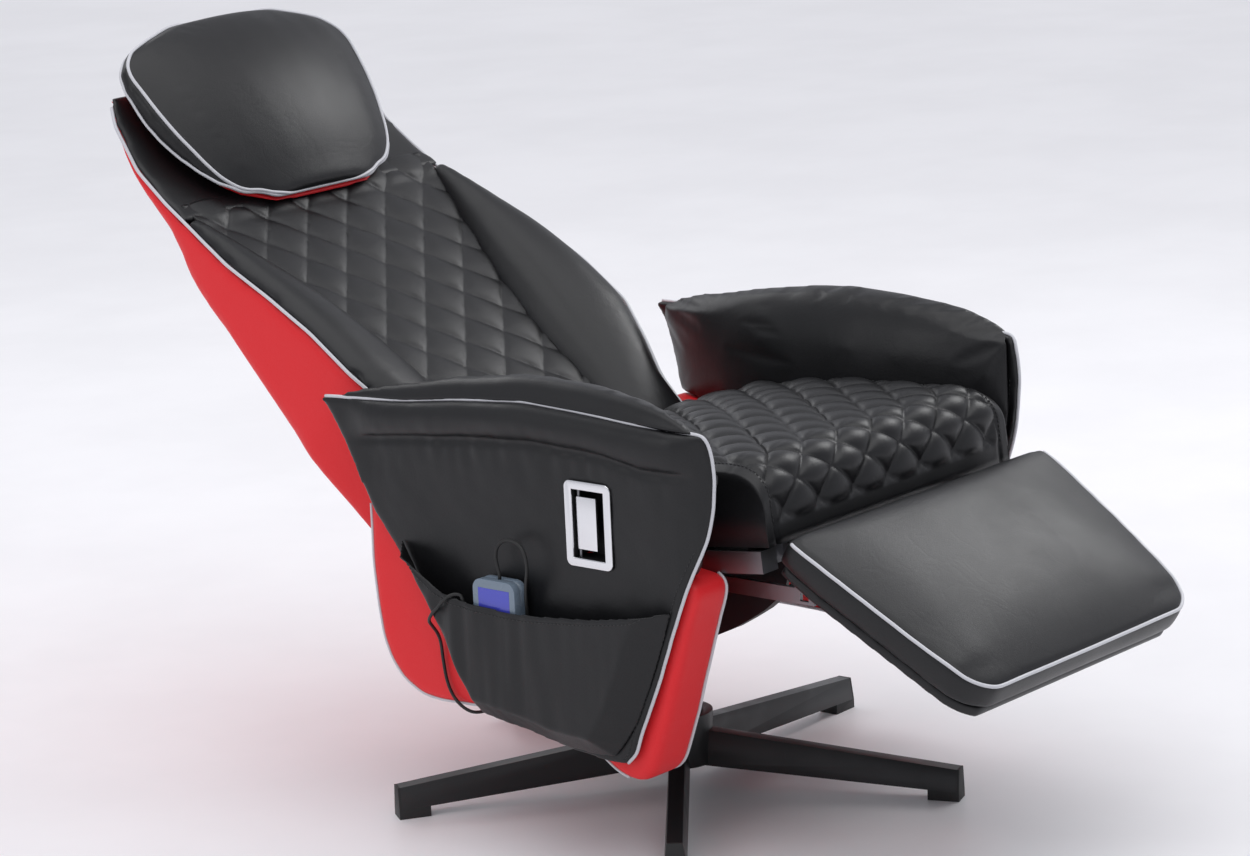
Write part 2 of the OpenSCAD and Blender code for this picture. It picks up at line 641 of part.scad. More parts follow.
// Recline pivots on the sides, and the brackets that turn on them
bracket_t = 5;
bracket_x = back_half * back_half_shares[0][1] + seat_gap;
pivot_plate_t = 7;
pivot_plate_r = 26;
module recline_pivots() {
    color(steel) both_sides() translate([0, pivot_y, pivot_z]) rotate([0, 90, 0]) {
        translate([0, 0, side_in - pivot_plate_t - seat_gap]) cylinder(r = pivot_plate_r, h = pivot_plate_t);
        translate([0, 0, bracket_x]) cylinder(d = recline_pin_d, h = side_in - seat_gap - bracket_x);
    }
}
stop_d = 24;
stop_t = -110;
stop_pt = back_pt(-stop_d / 2 - 4 * seat_gap, stop_t);
module recline_stop() {
    color(black_steel) translate(at_x(-side_in + seat_gap, stop_pt)) rotate([0, 90, 0])
        cylinder(d = stop_d, h = 2 * (side_in - seat_gap));
}

// Control box on the right side's inner face
box_t = 34;
box_y = -42;
box_w = 110;
box_z = 188;
box_h = 84;
module control_box() {
    rib = 3;
    color(black_steel) difference() {
        translate([-side_in + seat_gap, box_y, box_z]) cube([box_t, box_w, box_h]);
        for (i = [1:6]) translate([-side_in + seat_gap + box_t - cut, box_y + i * box_w / 7, box_z + box_h / 5])
            cube([2 * cut, rib, box_h * 3 / 5]);
    }
}
inlet_w = 24;
inlet_h = 18;
inlet_d = 6;
module power_inlet() {
    color(rubber) translate([-side_in + box_t / 2 - inlet_w / 2, box_y + box_w, box_z + box_h / 3]) difference() {
        cube([inlet_w, inlet_d, inlet_h]);
        translate([inlet_w / 5, inlet_d / 2, inlet_h / 5]) cube([inlet_w * 3 / 5, inlet_d, inlet_h * 3 / 5]);
    }
}
gland_y = 50;
gland_x = -side_in + seat_gap + box_t / 2;
gland_d = 10;
gland_l = 12;
module cord_gland() {
    color(rubber) translate([gland_x, gland_y, box_z - gland_l]) cylinder(d = gland_d, h = gland_l);
}

// Backrest
back_rear_shares = [[0, 1], [0.12, 0.94], [0.33, 0.63], [0.53, 0.44], [0.66, 0.38], [0.74, 0.24], [0.86, 0.17], [1, -0.1]];
edge_line = [[0, 0], [61, 10], [140, 28], [200, 36], [280, 37], [357, 28], [428, 15], [488, 7], [561, 0], [621, 2],
    [718, 36]];
back_steps = 24;
back_pitch = back_len / back_steps;
back_stations = [for (i = [0:back_steps]) i * back_pitch];
function along(values, s) = let (i = max(0, min(back_steps - 1, floor(s / back_pitch))), f = s / back_pitch - i)
    values[i] * (1 - f) + values[i + 1] * f;
function stations(s0, s1) = concat([s0], [for (s = back_stations) if (s > s0 + cut && s < s1 - cut) s], [s1]);
back_ws = [for (s = back_stations) back_half * lookup(s / back_len, back_half_shares)];
back_rears = [for (s = back_stations) -back_deep * lookup(s / back_len, back_rear_shares)];
back_edges = [for (s = back_stations) lookup(s, edge_line)];
function back_w(s) = along(back_ws, s);
function back_rear(s) = along(back_rears, s);
function back_edge(s) = along(back_edges, s);
lip = 6;
round_in = 14;
function shell_section(s, w, r, high) = [[-w, s, high], [w, s, high], [w, s, r + round_in],
    [w - round_in, s, r + round_in / 3], [0, s, r], [round_in - w, s, r + round_in / 3], [-w, s, r + round_in]];
module back_shell() {
    color(red_leather) in_back() difference() {
        loft([for (s = back_stations) shell_section(s, back_w(s), back_rear(s), back_edge(s) - lip)]);
        loft([for (s = concat([shell_wall], stations(back_pitch - cut / 2, back_len - cut / 2), [back_len + cut]))
            shell_section(s, back_w(s) - shell_wall, back_rear(s) + shell_wall, back_half)]);
    }
}
board_top_t = -quilt_t - seat_gap;
board_end = 430;
function pad_floor(s, above) = max(-quilt_t, back_rear(s) + shell_wall + 4 * seat_gap + above);
module back_board() {
    right = [for (s = stations(shell_wall + seat_gap, board_end)) [back_w(s) - shell_wall - round_in, s]];
    left = [for (i = [len(right) - 1:-1:0]) [-right[i][0], right[i][1]]];
    color(plywood) in_back() translate([0, 0, board_top_t - board_t]) linear_extrude(board_t)
        polygon(concat(right, left));
}
motor_rows = [85, 170, 255];
motor_half = 80;
module back_motors() {
    color(black_steel) in_back() for (s = motor_rows) for (x = [-1, 1])
        translate([x * motor_half, s, board_top_t - board_t - motor_h - seat_gap]) cylinder(d = motor_d, h = motor_h);
}
pivot_s = (pivot_y - back_foot_y) * cos(back_angle) + (pivot_z - back_foot_z) * sin(back_angle);
pivot_t = (pivot_z - back_foot_z) * cos(back_angle) - (pivot_y - back_foot_y) * sin(back_angle);
bracket_r = 22;
bracket_len = 59;
bracket_deep = 90;
module recline_brackets() {
    color(steel) in_back() both_sides() difference() {
        translate([bracket_x, 0, 0]) rotate([90, 0, 90]) linear_extrude(bracket_t) union() {
            translate([pivot_s, pivot_t]) circle(r = bracket_r);
            polygon([[pivot_s, pivot_t + bracket_r], [bracket_len, pivot_t], [bracket_len, -bracket_deep],
                [pivot_s - bracket_r / 2, -bracket_deep], [pivot_s - bracket_r, pivot_t]]);
        }
        translate([0, pivot_s, pivot_t]) rotate([0, 90, 0])
            cylinder(r = recline_pin_d / 2 + running_gap, h = side_out);
    }
}
quilt_low = 12;
quilt_end = quilt_low + quilt_len;
quilt_half_shares = [[0, 0.53], [0.39, 0.59], [0.46, 0.62], [0.6, 0.7], [0.71, 0.78], [0.82, 0.88], [0.96, 1], [1, 1.02]];
quilt_ws = [for (s = back_stations) quilt_half * lookup((s - quilt_low) / quilt_len, quilt_half_shares)];
function quilt_w(s) = along(quilt_ws, s);
quilt_phase_s = 498;
module quilted_pad() {
    step = back_diamond_l / 4;
    cols = 2 * ceil(quilt_half * 4 / back_diamond_w);
    k0 = floor((quilt_low - quilt_phase_s) / step);
    k1 = ceil((quilt_end - quilt_phase_s) / step);
    s1 = quilt_phase_s + k1 * step;
    rings = [for (j = [0:cols]) let (x = (j - cols / 2) * back_diamond_w / 4)
        concat([[x, s1, pad_floor(quilt_end, round_in)], [x, board_end, -quilt_t], [x, quilt_phase_s + k0 * step, -quilt_t]],
            [for (k = [k0:k1]) [x, quilt_phase_s + k * step,
                channel_depth * (puff(x / back_diamond_w, k / 4 + 0.5) - 0.5)]])];
    cuts = stations(quilt_low, quilt_end);
    outline = concat([for (s = cuts) [quilt_w(s) - seat_gap, s]], [for (s = reversed(cuts)) [seat_gap - quilt_w(s), s]]);
    color(black_leather) in_back() intersection() {
        loft(rings);
        translate([0, 0, -back_half]) linear_extrude(2 * back_half) polygon(outline);
    }
}
crown_steps = 7;
crown_shares = [[0, 0], [0.1, 0.55], [0.25, 0.85], [0.45, 1], [0.7, 0.85], [0.9, 0.45], [1, 0]];
module bolster() {
    s0 = shell_wall + seat_gap;
    loft([for (s = stations(s0, quilt_end)) let (f = (s - s0) / (quilt_end - s0),
        q = quilt_w(s) + seat_gap, w = back_w(s), e = back_edge(s), base = pad_floor(s, round_in) + seat_gap,
        rise = bolster_h * pow(sin(180 * (0.03 + 0.94 * f)), 0.5) * min(1, (w - q) / bolster_h))
        concat([[q, s, base]],
            [for (k = [0:crown_steps]) let (f = k / crown_steps)
                [q + (w - q) * f, s, e * f + rise * lookup(f, crown_shares)]],
            [[w, s, e - lip + seat_gap], [w - shell_wall - seat_gap, s, e - lip + seat_gap],
             [w - shell_wall - seat_gap, s, base]])]);
}
module bolster_right() { color(black_leather) in_back() mirror([1, 0, 0]) bolster(); }
module bolster_left() { color(black_leather) in_back() bolster(); }
// The posts' frame: Y runs up the posts, which lean forward from the backrest's slope
head_lean = 20.4;
post_s = 600;
post_t = -9;
module along_posts() { in_back() translate([0, post_s, post_t]) rotate([head_lean, 0, 0]) children(); }
sleeve_len = 112;
sleeve_r = post_d / 2 + running_gap + sleeve_wall;
// Half the width of the pad inside the shell, where the shell's hollow closes towards its top
function pad_rim(s, floor_t) = let (inner = back_w(s) - shell_wall - seat_gap - round_in,
    g = (floor_t - pad_floor(s, round_in / 3)) / (round_in * 2 / 3))
    g > 0 ? inner + round_in * min(1, g) : inner * max(0.1, (floor_t - pad_floor(s, 0)) / (round_in / 3));
module back_top_pad() {
    s0 = quilt_end + 2 * seat_gap;
    crown = 1.5;
    color(black_leather) difference() {
        in_back() loft([for (s = stations(s0, back_len)) let (w = back_w(s), e = back_edge(s), high = e - lip + seat_gap,
            low = high - cut, rim = pad_rim(s, low), inner = rim - round_in, outer_t = min(low, pad_floor(s, round_in)),
            inner_t = min(low, pad_floor(s, round_in / 3)), mid_t = min(low, pad_floor(s, 0)))
            [[-rim, s, outer_t], [-rim, s, high], [-w, s, high], [-w, s, e],
             [-w * 0.85, s, e + crown * 0.6], [-w * 0.5, s, e + crown * 0.9], [0, s, e + crown], [w * 0.5, s, e + crown * 0.9],
             [w * 0.85, s, e + crown * 0.6], [w, s, e], [w, s, high], [rim, s, high], [rim, s, outer_t],
             [inner, s, inner_t], [0, s, mid_t], [-inner, s, inner_t]]]);
        along_posts() both_sides() translate([post_half - sleeve_r - seat_gap, -seat_gap, -back_deep])
            cube([2 * (sleeve_r + seat_gap), back_len, 2 * back_deep]);
    }
}
module headrest_sleeves() {
    color(steel) along_posts() both_sides() translate([post_half, 0, 0]) rotate([-90, 0, 0]) difference() {
        cylinder(r = sleeve_r, h = sleeve_len);
        translate([0, 0, -cut]) cylinder(r = post_d / 2 + running_gap, h = sleeve_len + 2 * cut);
    }
}

// Headrest: its own rings up the back, between the front seam and the rear panel
head_low = 514;
head_top = head_low + head_len;
post_start = 6;
post_len = 146;
post_reach = 36;
head_half_shares = [[0, 0.45], [0.04, 0.62], [0.12, 0.75], [0.22, 0.83], [0.4, 0.92], [0.6, 0.98], [0.78, 1],
    [0.88, 0.94], [0.95, 0.78], [1, 0.5]];
function head_w(f) = head_half * lookup(f, head_half_shares);
head_rear_line = [[0, 6], [0.2, 8], [0.31, 11], [0.42, 13], [0.57, 23], [0.7, 33], [0.8, 42], [1, 58]];
function head_rear(f) = lookup(f, head_rear_line);
head_seam_low = 12;
head_seam_rise = 72;
function head_seam(f) = head_seam_low + head_seam_rise * f;
head_panel_t = 9;
head_steps = 12;
module headrest_back() {
    color(red_leather) difference() {
        in_back() loft([for (i = [0:head_steps]) let (f = i / head_steps, s = head_low + head_len * f, w = head_w(f) - 2, r = head_rear(f),
            c = r + head_panel_t * (i == 0 ? 0.5 : 1))
            [[-w * 0.96, s, r + 2], [-w, s, c], [w, s, c], [w * 0.96, s, r + 2], [w * 0.5, s, r], [-w * 0.5, s, r]]]);
        post_room();
    }
}
module post_room() {
    along_posts() both_sides() translate([post_half - post_d / 2 - seat_gap, post_len - post_d - seat_gap, 0])
        cube([post_d + 2 * seat_gap, post_d + 2 * seat_gap, post_reach + seat_gap]);
}
module headrest_pillow() {
    crown_steps = 8;
    color(black_leather) difference() {
        in_back() loft([for (i = [0:head_steps]) let (f = i / head_steps, s = head_low + head_len * f, w = head_w(f),
            base = head_rear(f) + head_panel_t + seat_gap, seam = max(base + 2, head_seam(f)),
            crown = head_crown * pow(sin(180 * (0.04 + 0.92 * f)), 0.6))
            concat([[-w, s, base], [-w, s, seam]],
                [for (k = [1:crown_steps - 1]) let (g = k / crown_steps)
                    [-w + 2 * w * g, s, seam + crown * pow(sin(180 * g), 0.6)]],
                [[w, s, seam], [w, s, base]])]);
        post_room();
    }
}
module headrest_posts() {
    color(steel) along_posts() both_sides() translate([post_half, 0, 0]) union() {
        translate([0, post_start, 0]) rotate([-90, 0, 0]) cylinder(d = post_d, h = post_len - post_start - post_d / 2);
        translate([-post_d / 2, post_len - post_d, 0]) cube([post_d, post_d, post_reach]);
    }
}

// Footrest
foot_round = 45;
function foot_w(p) = foot_half + (foot_half_end - foot_half) * p / foot_len
    - (p > foot_len - foot_round ? foot_round * (1 - sqrt(max(0, 1 - pow((p - foot_len + foot_round) / foot_round, 2)))) : 0)
    - (p < foot_round / 2 ? (foot_round / 2 - p) * 0.4 : 0);
foot_stations = concat([0, 6, 15, 60, 110, 160, 200], [for (a = [0:15:75]) foot_len - foot_round * (1 - sin(a))],
    [foot_len - 1]);
foot_crown = 10;
module footrest_pad() {
    across = 10;
    color(black_leather) in_footrest() loft([for (p = foot_stations) let (w = foot_w(p), f = p / foot_len,
        crown = foot_crown * pow(max(0.02, sin(180 * (0.04 + 0.92 * f))), 0.5),
        tuck = p > foot_len - foot_round ? 3 : 0)
        concat([[-w + 3, p, -foot_cushion_t], [-w, p, -foot_cushion_t / 2], [-w, p, -tuck]],
            [for (k = [1:across - 1]) let (g = k / across) [-w + 2 * w * g, p, crown * pow(sin(180 * g), 0.5) - tuck]],
            [[w, p, -tuck], [w, p, -foot_cushion_t / 2], [w - 3, p, -foot_cushion_t]])]);
}
module footrest_board() {
    inset = 12;
    stations = [for (p = foot_stations) if (p >= 6) p - (p > foot_len / 2 ? inset / 2 : 0)];
    right = [for (p = stations) [foot_w(p) - inset, p]];
    left = [for (i = [len(right) - 1:-1:0]) [-right[i][0], right[i][1]]];
    color(black_leather) in_footrest() translate([0, 0, -foot_cushion_t - seat_gap - foot_board_t])
        linear_extrude(foot_board_t) polygon(concat(right, left));
}
foot_bracket_x = 172;
foot_bracket_t = 5;
drive_pin_d = 10;
drive_pin_y = -345;
drive_pin_z = 330;
foot_bracket_q = -foot_cushion_t - foot_board_t - 2 * seat_gap;
module footrest_brackets() {
    reach = 130;
    heel = 24;
    eye_r = 11;
    outline = [foot_pt(14, foot_bracket_q), foot_pt(reach, foot_bracket_q), foot_pt(reach, foot_bracket_q - 8),
        foot_pt(heel + 30, foot_bracket_q - heel), [drive_pin_y - 6, drive_pin_z - 6], [drive_pin_y + 7, drive_pin_z],
        [hinge[0] + eye_r - 1, hinge[1] - 3], [hinge[0], hinge[1] + eye_r], foot_pt(0, foot_bracket_q - 1)];
    color(steel) both_sides() difference() {
        union() {
            translate([foot_bracket_x, 0, 0]) rotate([90, 0, 90]) linear_extrude(foot_bracket_t) union() {
                polygon(outline);
                translate(hinge) circle(r = eye_r);
                translate([drive_pin_y, drive_pin_z]) circle(d = drive_pin_d + 6);
            }
            translate([foot_bracket_x + foot_bracket_t / 2, drive_pin_y, drive_pin_z]) rotate([0, 90, 0])
                cylinder(d = drive_pin_d, h = link_x + link_t + 3 - foot_bracket_x - foot_bracket_t / 2);
        }
        translate(at_x(0, hinge)) rotate([0, 90, 0]) cylinder(r = foot_shaft_d / 2 + running_gap, h = side_out);
    }
}

// Drive link: two bars joined by a cross tube, slotted over the footrest's pins
link_x = 186;
link_t = 5;
link_h = 18;
link_len = 210;
link_travel = 47.2;
slot_low = 14;
slot_high = 6.5;
link_rim = 3.5;
link_tube_d = 12;
pin_play = 0.9;
link_tube_y = drive_pin_y + link_len - link_tube_d;
link_tube_z = drive_pin_z - link_h / 2;
module drive_link() {
    head = drive_pin_d / 2 + pin_play + 2 * link_rim;
    color(steel) difference() {
        union() {
            both_sides() yz_plate([[drive_pin_y - head, drive_pin_z - slot_low - link_rim],
                [drive_pin_y + head, drive_pin_z - slot_low - link_rim],
                [drive_pin_y + head, drive_pin_z - link_h], [drive_pin_y + link_len, drive_pin_z - link_h],
                [drive_pin_y + link_len, drive_pin_z], [drive_pin_y + head, drive_pin_z],
                [drive_pin_y + head, drive_pin_z + slot_high + link_rim],
                [drive_pin_y - head, drive_pin_z + slot_high + link_rim]], link_x, link_x + link_t);
            translate([-link_x - cut, link_tube_y, link_tube_z]) rotate([0, 90, 0])
                cylinder(d = link_tube_d, h = 2 * (link_x + cut));
        }
        both_sides() translate([link_x - cut, drive_pin_y - drive_pin_d / 2 - pin_play, drive_pin_z - slot_low])
            cube([link_t + 2 * cut, drive_pin_d + 2 * pin_play, slot_low + slot_high]);
    }
}
guide_y = -215;
guide_w = 30;
guide_wall = 3;
module link_guides() {
    z0 = drive_pin_z - link_h - slide_gap;
    top = seat_pt(seat_front + guide_y, rail_bottom);
    color(black_steel) both_sides() difference() {
        translate([link_x - slide_gap - guide_wall, guide_y, z0 - guide_wall])
            cube([link_t + 2 * (slide_gap + guide_wall) + rail_w / 2, guide_w, top[1] - z0 + guide_wall - 4]);
        translate([link_x - slide_gap, guide_y - cut, z0]) cube([link_t + 2 * slide_gap, guide_w + 2 * cut, link_h + 2 * slide_gap]);
    }
}

// Handset in the pocket
handset_y = -18;
handset_top = 328;
handset_x = -side_out - pocket_d + pocket_wall + 2;
shell_split = 0.55;
module handset_slab(x0, x1, grow) {
    r = 12;
    translate([x0, handset_y, handset_top - handset_h / 2]) scale([x1 - x0, 1, 1])
        plate_at(handset_w + grow, handset_h + grow, r);
}
module handset_back() {
    color(grey_blue) handset_slab(handset_x + handset_t * (1 - shell_split), handset_x + handset_t, 0);
}
label_w = 46;
label_h = 70;
label_z = handset_top - 45;
label_t = 1;
button_d = 9;
button_travel = 0.8;
button_z = label_z - label_h / 2 - 14;
button_pitch = 15;
button_h = 4;
button_proud = 1.2;
module at_button(i) { translate([handset_x, handset_y + i * button_pitch, button_z]) rotate([0, 90, 0]) children(); }
module handset_front() {
    color(grey_blue) difference() {
        handset_slab(handset_x, handset_x + handset_t * (1 - shell_split), 0);
        translate([handset_x - cut, handset_y - label_w / 2, label_z - label_h / 2]) cube([label_t + cut, label_w, label_h]);
        for (i = [-1, 0, 1]) at_button(i) translate([0, 0, -cut])
            cylinder(d = button_d + 2 * seat_gap, h = button_h - button_proud + button_travel + 2 * seat_gap + cut);
    }
}
module handset_label() {
    color([0.24, 0.26, 0.72]) translate([handset_x, handset_y - label_w / 2, label_z - label_h / 2])
        cube([label_t, label_w, label_h]);
}
module button(i) { color(rubber) at_button(i) translate([0, 0, -button_proud]) cylinder(d = button_d, h = button_h); }
module handset_button_1() { button(-1); }
module handset_button_2() { button(0); }
module handset_button_3() { button(1); }

// Route of the handset's cord, from its top into the pocket and down under the side
cord_route = [[-326, -20, 328], [-326, -20, 333], [-325, -17, 341], [-324, -14, 352], [-324, -17, 364],
    [-325, -28, 373], [-326, -42, 375], [-327, -55, 370], [-328, -62, 358], [-328, -63, 344], [-327, -60, 330],
    [-325, -57, 315], [-322, -55, 294], [-319, -54, 262], [-316, -54, 226], [-313, -53, 202], [-312, -49, 189],
    [-312, -40, 182], [-312, -28, 181], [-312, -8, 181], [-312, 6, 183], [-314, 14, 190], [-317, 18, 206],
    [-321, 21, 230], [-327, 24, 258], [-332, 27, 280], [-335, 29, 297], [-335.8, 32, 304.4], [-339.5, 38, 305.5],
    [-343.5, 43, 303.5], [-345, 50, 298], [-345, 62, 286], [-343.5, 71, 278], [-338, 80, 268], [-325, 87, 257],
    [-312, 93, 246], [-302.5, 97, 232], [-300, 97, 212], [-300, 93, 188], [-300, 86, 172], [-299.5, 76, 161],
    [-297, 65, 154], [-290, 57, 151], [-270, 52, 150.5], [-245, 50, 151], [-227, 50, 155], [-218, 50, 163],
    [-215, 50, 170], [-214.7, 50, 175.7]];
module handset_cord() {
    color(rubber) swept_tube(cord_route, cord_d, 8);
}

// Middle of the floor area that the chair covers
frame_x = (side_out + pocket_d + cord_d - leg_reach) / 2;
frame_y = -(back_pt(head_top, head_rear(1))[0] + foot_pt(foot_len, 0)[0]) / 2;
module placed() { translate([frame_x, frame_y, 0]) children(); }

placed() base_legs();
placed() leg_caps();
placed() foot_pads();
placed() column_tube();
placed() column_bush();
placed() thrust_washer();
placed() swivel_spindle();
placed() swivel_plate();
placed() plate_bolts();
placed() mechanism_frame();
placed() seat_frame();
placed() seat_straps();
placed() seat_motors();
placed() seat_cushion();
placed() side_right();
placed() side_left();
placed() arm_pad_right();
placed() arm_pad_left();
placed() outer_panel_right();
placed() outer_panel_left();
placed() side_pocket();
placed() lever_bezel();
placed() lever_housing();
placed() lever_pin();
placed() lever_paddle();
placed() rear_bumpers();
placed() recline_pivots();
placed() recline_stop();
placed() control_box();
placed() power_inlet();
placed() cord_gland();
placed() back_shell();
placed() back_board();
placed() back_motors();
placed() recline_brackets();
placed() quilted_pad();
placed() bolster_right();
placed() bolster_left();
placed() back_top_pad();
placed() headrest_sleeves();
placed() headrest_posts();
placed() headrest_back();
placed() headrest_pillow();
placed() footrest_shaft();
placed() footrest_board();
placed() footrest_pad();
placed() footrest_brackets();
placed() drive_link();
placed() link_guides();
placed() handset_back();
placed() handset_front();
placed() handset_label();
placed() handset_button_1();
placed() handset_button_2();
placed() handset_button_3();
placed() handset_cord();
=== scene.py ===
"""Reclining massage armchair, shown reclined with its footrest raised.

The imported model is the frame. Lengths in the classes are millimetres round the swivel axis, as in the
part's source, and ChairFrame turns them into the model's metres.
"""

from __future__ import annotations

import json
import logging
import math
from dataclasses import dataclass
from enum import Enum
from typing import Callable, Iterable, Sequence

import bmesh
import bpy
from mathutils import Matrix, Vector, noise
from mathutils.bvhtree import BVHTree
from mathutils.kdtree import KDTree

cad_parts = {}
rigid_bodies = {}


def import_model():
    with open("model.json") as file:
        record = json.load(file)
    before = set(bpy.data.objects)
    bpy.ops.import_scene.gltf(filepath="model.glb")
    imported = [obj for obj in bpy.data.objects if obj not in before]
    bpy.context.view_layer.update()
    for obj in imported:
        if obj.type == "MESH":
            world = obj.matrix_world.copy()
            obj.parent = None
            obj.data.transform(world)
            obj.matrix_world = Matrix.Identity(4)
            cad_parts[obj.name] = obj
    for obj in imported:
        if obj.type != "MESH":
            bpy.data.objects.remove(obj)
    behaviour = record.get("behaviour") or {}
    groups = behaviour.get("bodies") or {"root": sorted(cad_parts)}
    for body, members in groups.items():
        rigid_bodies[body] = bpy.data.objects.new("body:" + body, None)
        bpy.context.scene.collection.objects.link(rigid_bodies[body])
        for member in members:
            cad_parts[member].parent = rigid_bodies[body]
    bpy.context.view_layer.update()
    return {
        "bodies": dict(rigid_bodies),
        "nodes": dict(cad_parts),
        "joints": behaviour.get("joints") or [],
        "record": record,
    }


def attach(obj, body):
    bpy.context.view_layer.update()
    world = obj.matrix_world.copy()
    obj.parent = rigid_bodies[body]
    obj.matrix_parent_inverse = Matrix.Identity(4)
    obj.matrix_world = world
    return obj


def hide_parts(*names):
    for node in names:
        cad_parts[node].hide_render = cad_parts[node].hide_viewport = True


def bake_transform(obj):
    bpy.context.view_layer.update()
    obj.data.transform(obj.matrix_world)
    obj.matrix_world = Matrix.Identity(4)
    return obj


LOG = logging.getLogger("recliner")
MM = 0.001
MERGED_M = 1e-6
LINE_STEP = 4
Pair = tuple[float, float]
Triple = tuple[float, float, float]
Table = Sequence[Pair]
Line = Sequence[Vector]
Height = Callable[[Vector, Vector], float]
Piece = bpy.types.Object
Socket = bpy.types.NodeSocket
Masks = tuple[Socket, Socket, Sequence[tuple[Socket, float]]]
Roundings = Sequence[tuple[str, str, str, float, int]]


class Side(Enum):
    """The two sides of the chair, named as its sitter knows them."""

    RIGHT = -1
    LEFT = 1


def lookup(value: float, table: Table) -> float:
    """Reads a table of pairs with straight lines between them.

    Args:
        value: Where to read.
        table: Pairs of place and value, in rising order of place.

    Returns:
        The value there, held at the ends.
    """
    if value <= table[0][0]:
        return table[0][1]
    for (a, low), (b, high) in zip(table, table[1:]):
        if value <= b:
            return low + (high - low) * (value - a) / (b - a)
    return table[-1][1]


def smooth(value: float) -> float:
    """Eases a share from 0 to 1."""
    value = max(0.0, min(1.0, value))
    return value * value * (3 - 2 * value)


def bell(value: float, width: float) -> float:
    """A smooth rise to 1 at zero, that falls to nothing over a few widths."""
    return math.exp(-((value / width) ** 2))


@dataclass(frozen=True)
class ChairFrame:
    """The part's own reference frames, in millimetres and degrees."""

    shift_x: float = -1.5
    shift_y: float = -60.442
    seat_front: float = 318
    seat_h: float = 382
    seat_slope: float = 6.5
    back_foot_y: float = 118
    back_foot_z: float = 375
    back_angle: float = 34.4
    foot_y: float = -365
    foot_z: float = 404
    foot_tilt: float = 32.4

    def at(self, x: float, y: float, z: float) -> Vector:
        """A place in the chair's frame, in the model's metres."""
        return Vector(((x + self.shift_x) * MM, (y + self.shift_y) * MM, z * MM))

    def across(self, place: Vector) -> float:
        """Millimetres from the chair's middle plane to a place, positive to the left."""
        return place.x / MM - self.shift_x

    def back_of(self, place: Vector) -> float:
        """Millimetres from the swivel axis back to a place."""
        return place.y / MM - self.shift_y

    def seat(self, x: float, u: float, v: float) -> Vector:
        """A place in the seat's frame: u back along it, v square to it."""
        a = math.radians(self.seat_slope)
        c, s = math.cos(a), math.sin(a)
        return self.at(x, u * c + v * s - self.seat_front, self.seat_h - u * s + v * c)

    def back(self, x: float, s: float, t: float) -> Vector:
        """A place in the backrest's frame: s up it, t square to its front."""
        a = math.radians(self.back_angle)
        up, out = math.sin(a), math.cos(a)
        return self.at(x, self.back_foot_y + s * out - t * up, self.back_foot_z + s * up + t * out)

    def foot(self, x: float, p: float, q: float) -> Vector:
        """A place in the footrest's frame: p out along it, q square to its top."""
        a = math.radians(self.foot_tilt)
        c, s = math.cos(a), math.sin(a)
        return self.at(x, self.foot_y - p * c - q * s, self.foot_z - p * s + q * c)

    @staticmethod
    def facing(angle: float) -> Vector:
        """The direction out of a face that looks up and leans to the front by an angle."""
        a = math.radians(angle)
        return Vector((0, -math.sin(a), math.cos(a)))


CHAIR = ChairFrame()


# ---------------------------------------------------------------- materials


class Wiring:
    """Adds and joins the nodes of one shader tree."""

    def __init__(self, tree: bpy.types.NodeTree) -> None:
        """Keeps the tree that the nodes go into."""
        self.tree = tree

    def feed(self, socket: Socket, value: object) -> None:
        """Joins a socket to another, or sets its value."""
        if isinstance(value, Socket):
            self.tree.links.new(value, socket)
        elif value is not None:
            socket.default_value = value

    def add(self, kind: str, inputs: dict | None = None, **settings: object) -> bpy.types.Node:
        """Adds a node, with its settings and its inputs by name or number."""
        node = self.tree.nodes.new(kind)
        for key, value in settings.items():
            setattr(node, key, value)
        for key, value in (inputs or {}).items():
            self.feed(node.inputs[key], value)
        return node

    def place(self, stretch: Triple = (1, 1, 1)) -> Socket:
        """Object coordinates, stretched along the axes."""
        seen = self.add("ShaderNodeTexCoord").outputs["Object"]
        return self.add("ShaderNodeMapping", {"Vector": seen, "Scale": stretch}).outputs["Vector"]

    def noise(self, place: Socket, scale: object, detail: float = 2, rough: float = 0.5, warp: float = 0) -> Socket:
        """Cloudy values from 0 to 1."""
        inputs = {"Vector": place, "Scale": scale, "Detail": detail, "Roughness": rough, "Distortion": warp}
        return self.add("ShaderNodeTexNoise", inputs).outputs["Fac"]

    def cells(self, place: Socket, scale: object) -> Socket:
        """Distance to the edges of a pattern of cells."""
        inputs = {"Vector": place, "Scale": scale}
        return self.add("ShaderNodeTexVoronoi", inputs, feature="DISTANCE_TO_EDGE").outputs["Distance"]

    def math(self, operation: str, a: object, b: object) -> Socket:
        """One step of arithmetic."""
        return self.add("ShaderNodeMath", {0: a, 1: b}, operation=operation).outputs[0]

    def times(self, a: object, b: object) -> Socket:
        """The product of two values."""
        return self.math("MULTIPLY", a, b)

    def total(self, *parts: tuple[object, float]) -> Socket:
        """The sum of some values, each times its weight."""
        weighed = [self.times(value, weight) for value, weight in parts]
        out = weighed[0]
        for part in weighed[1:]:
            out = self.math("ADD", out, part)
        return out

    def span(self, value: object, low: float, high: float, to_low: float = 0, to_high: float = 1) -> Socket:
        """Eases a value from one range to another."""
        inputs = {"Value": value, "From Min": low, "From Max": high, "To Min": to_low, "To Max": to_high}
        return self.add("ShaderNodeMapRange", inputs, interpolation_type="SMOOTHSTEP").outputs["Result"]

    def blend(self, share: object, a: Triple, b: Triple) -> Socket:
        """Mixes two colours."""
        inputs = {"Factor": share, 6: (*a, 1), 7: (*b, 1)}
        return self.add("ShaderNodeMix", inputs, data_type="RGBA").outputs[2]


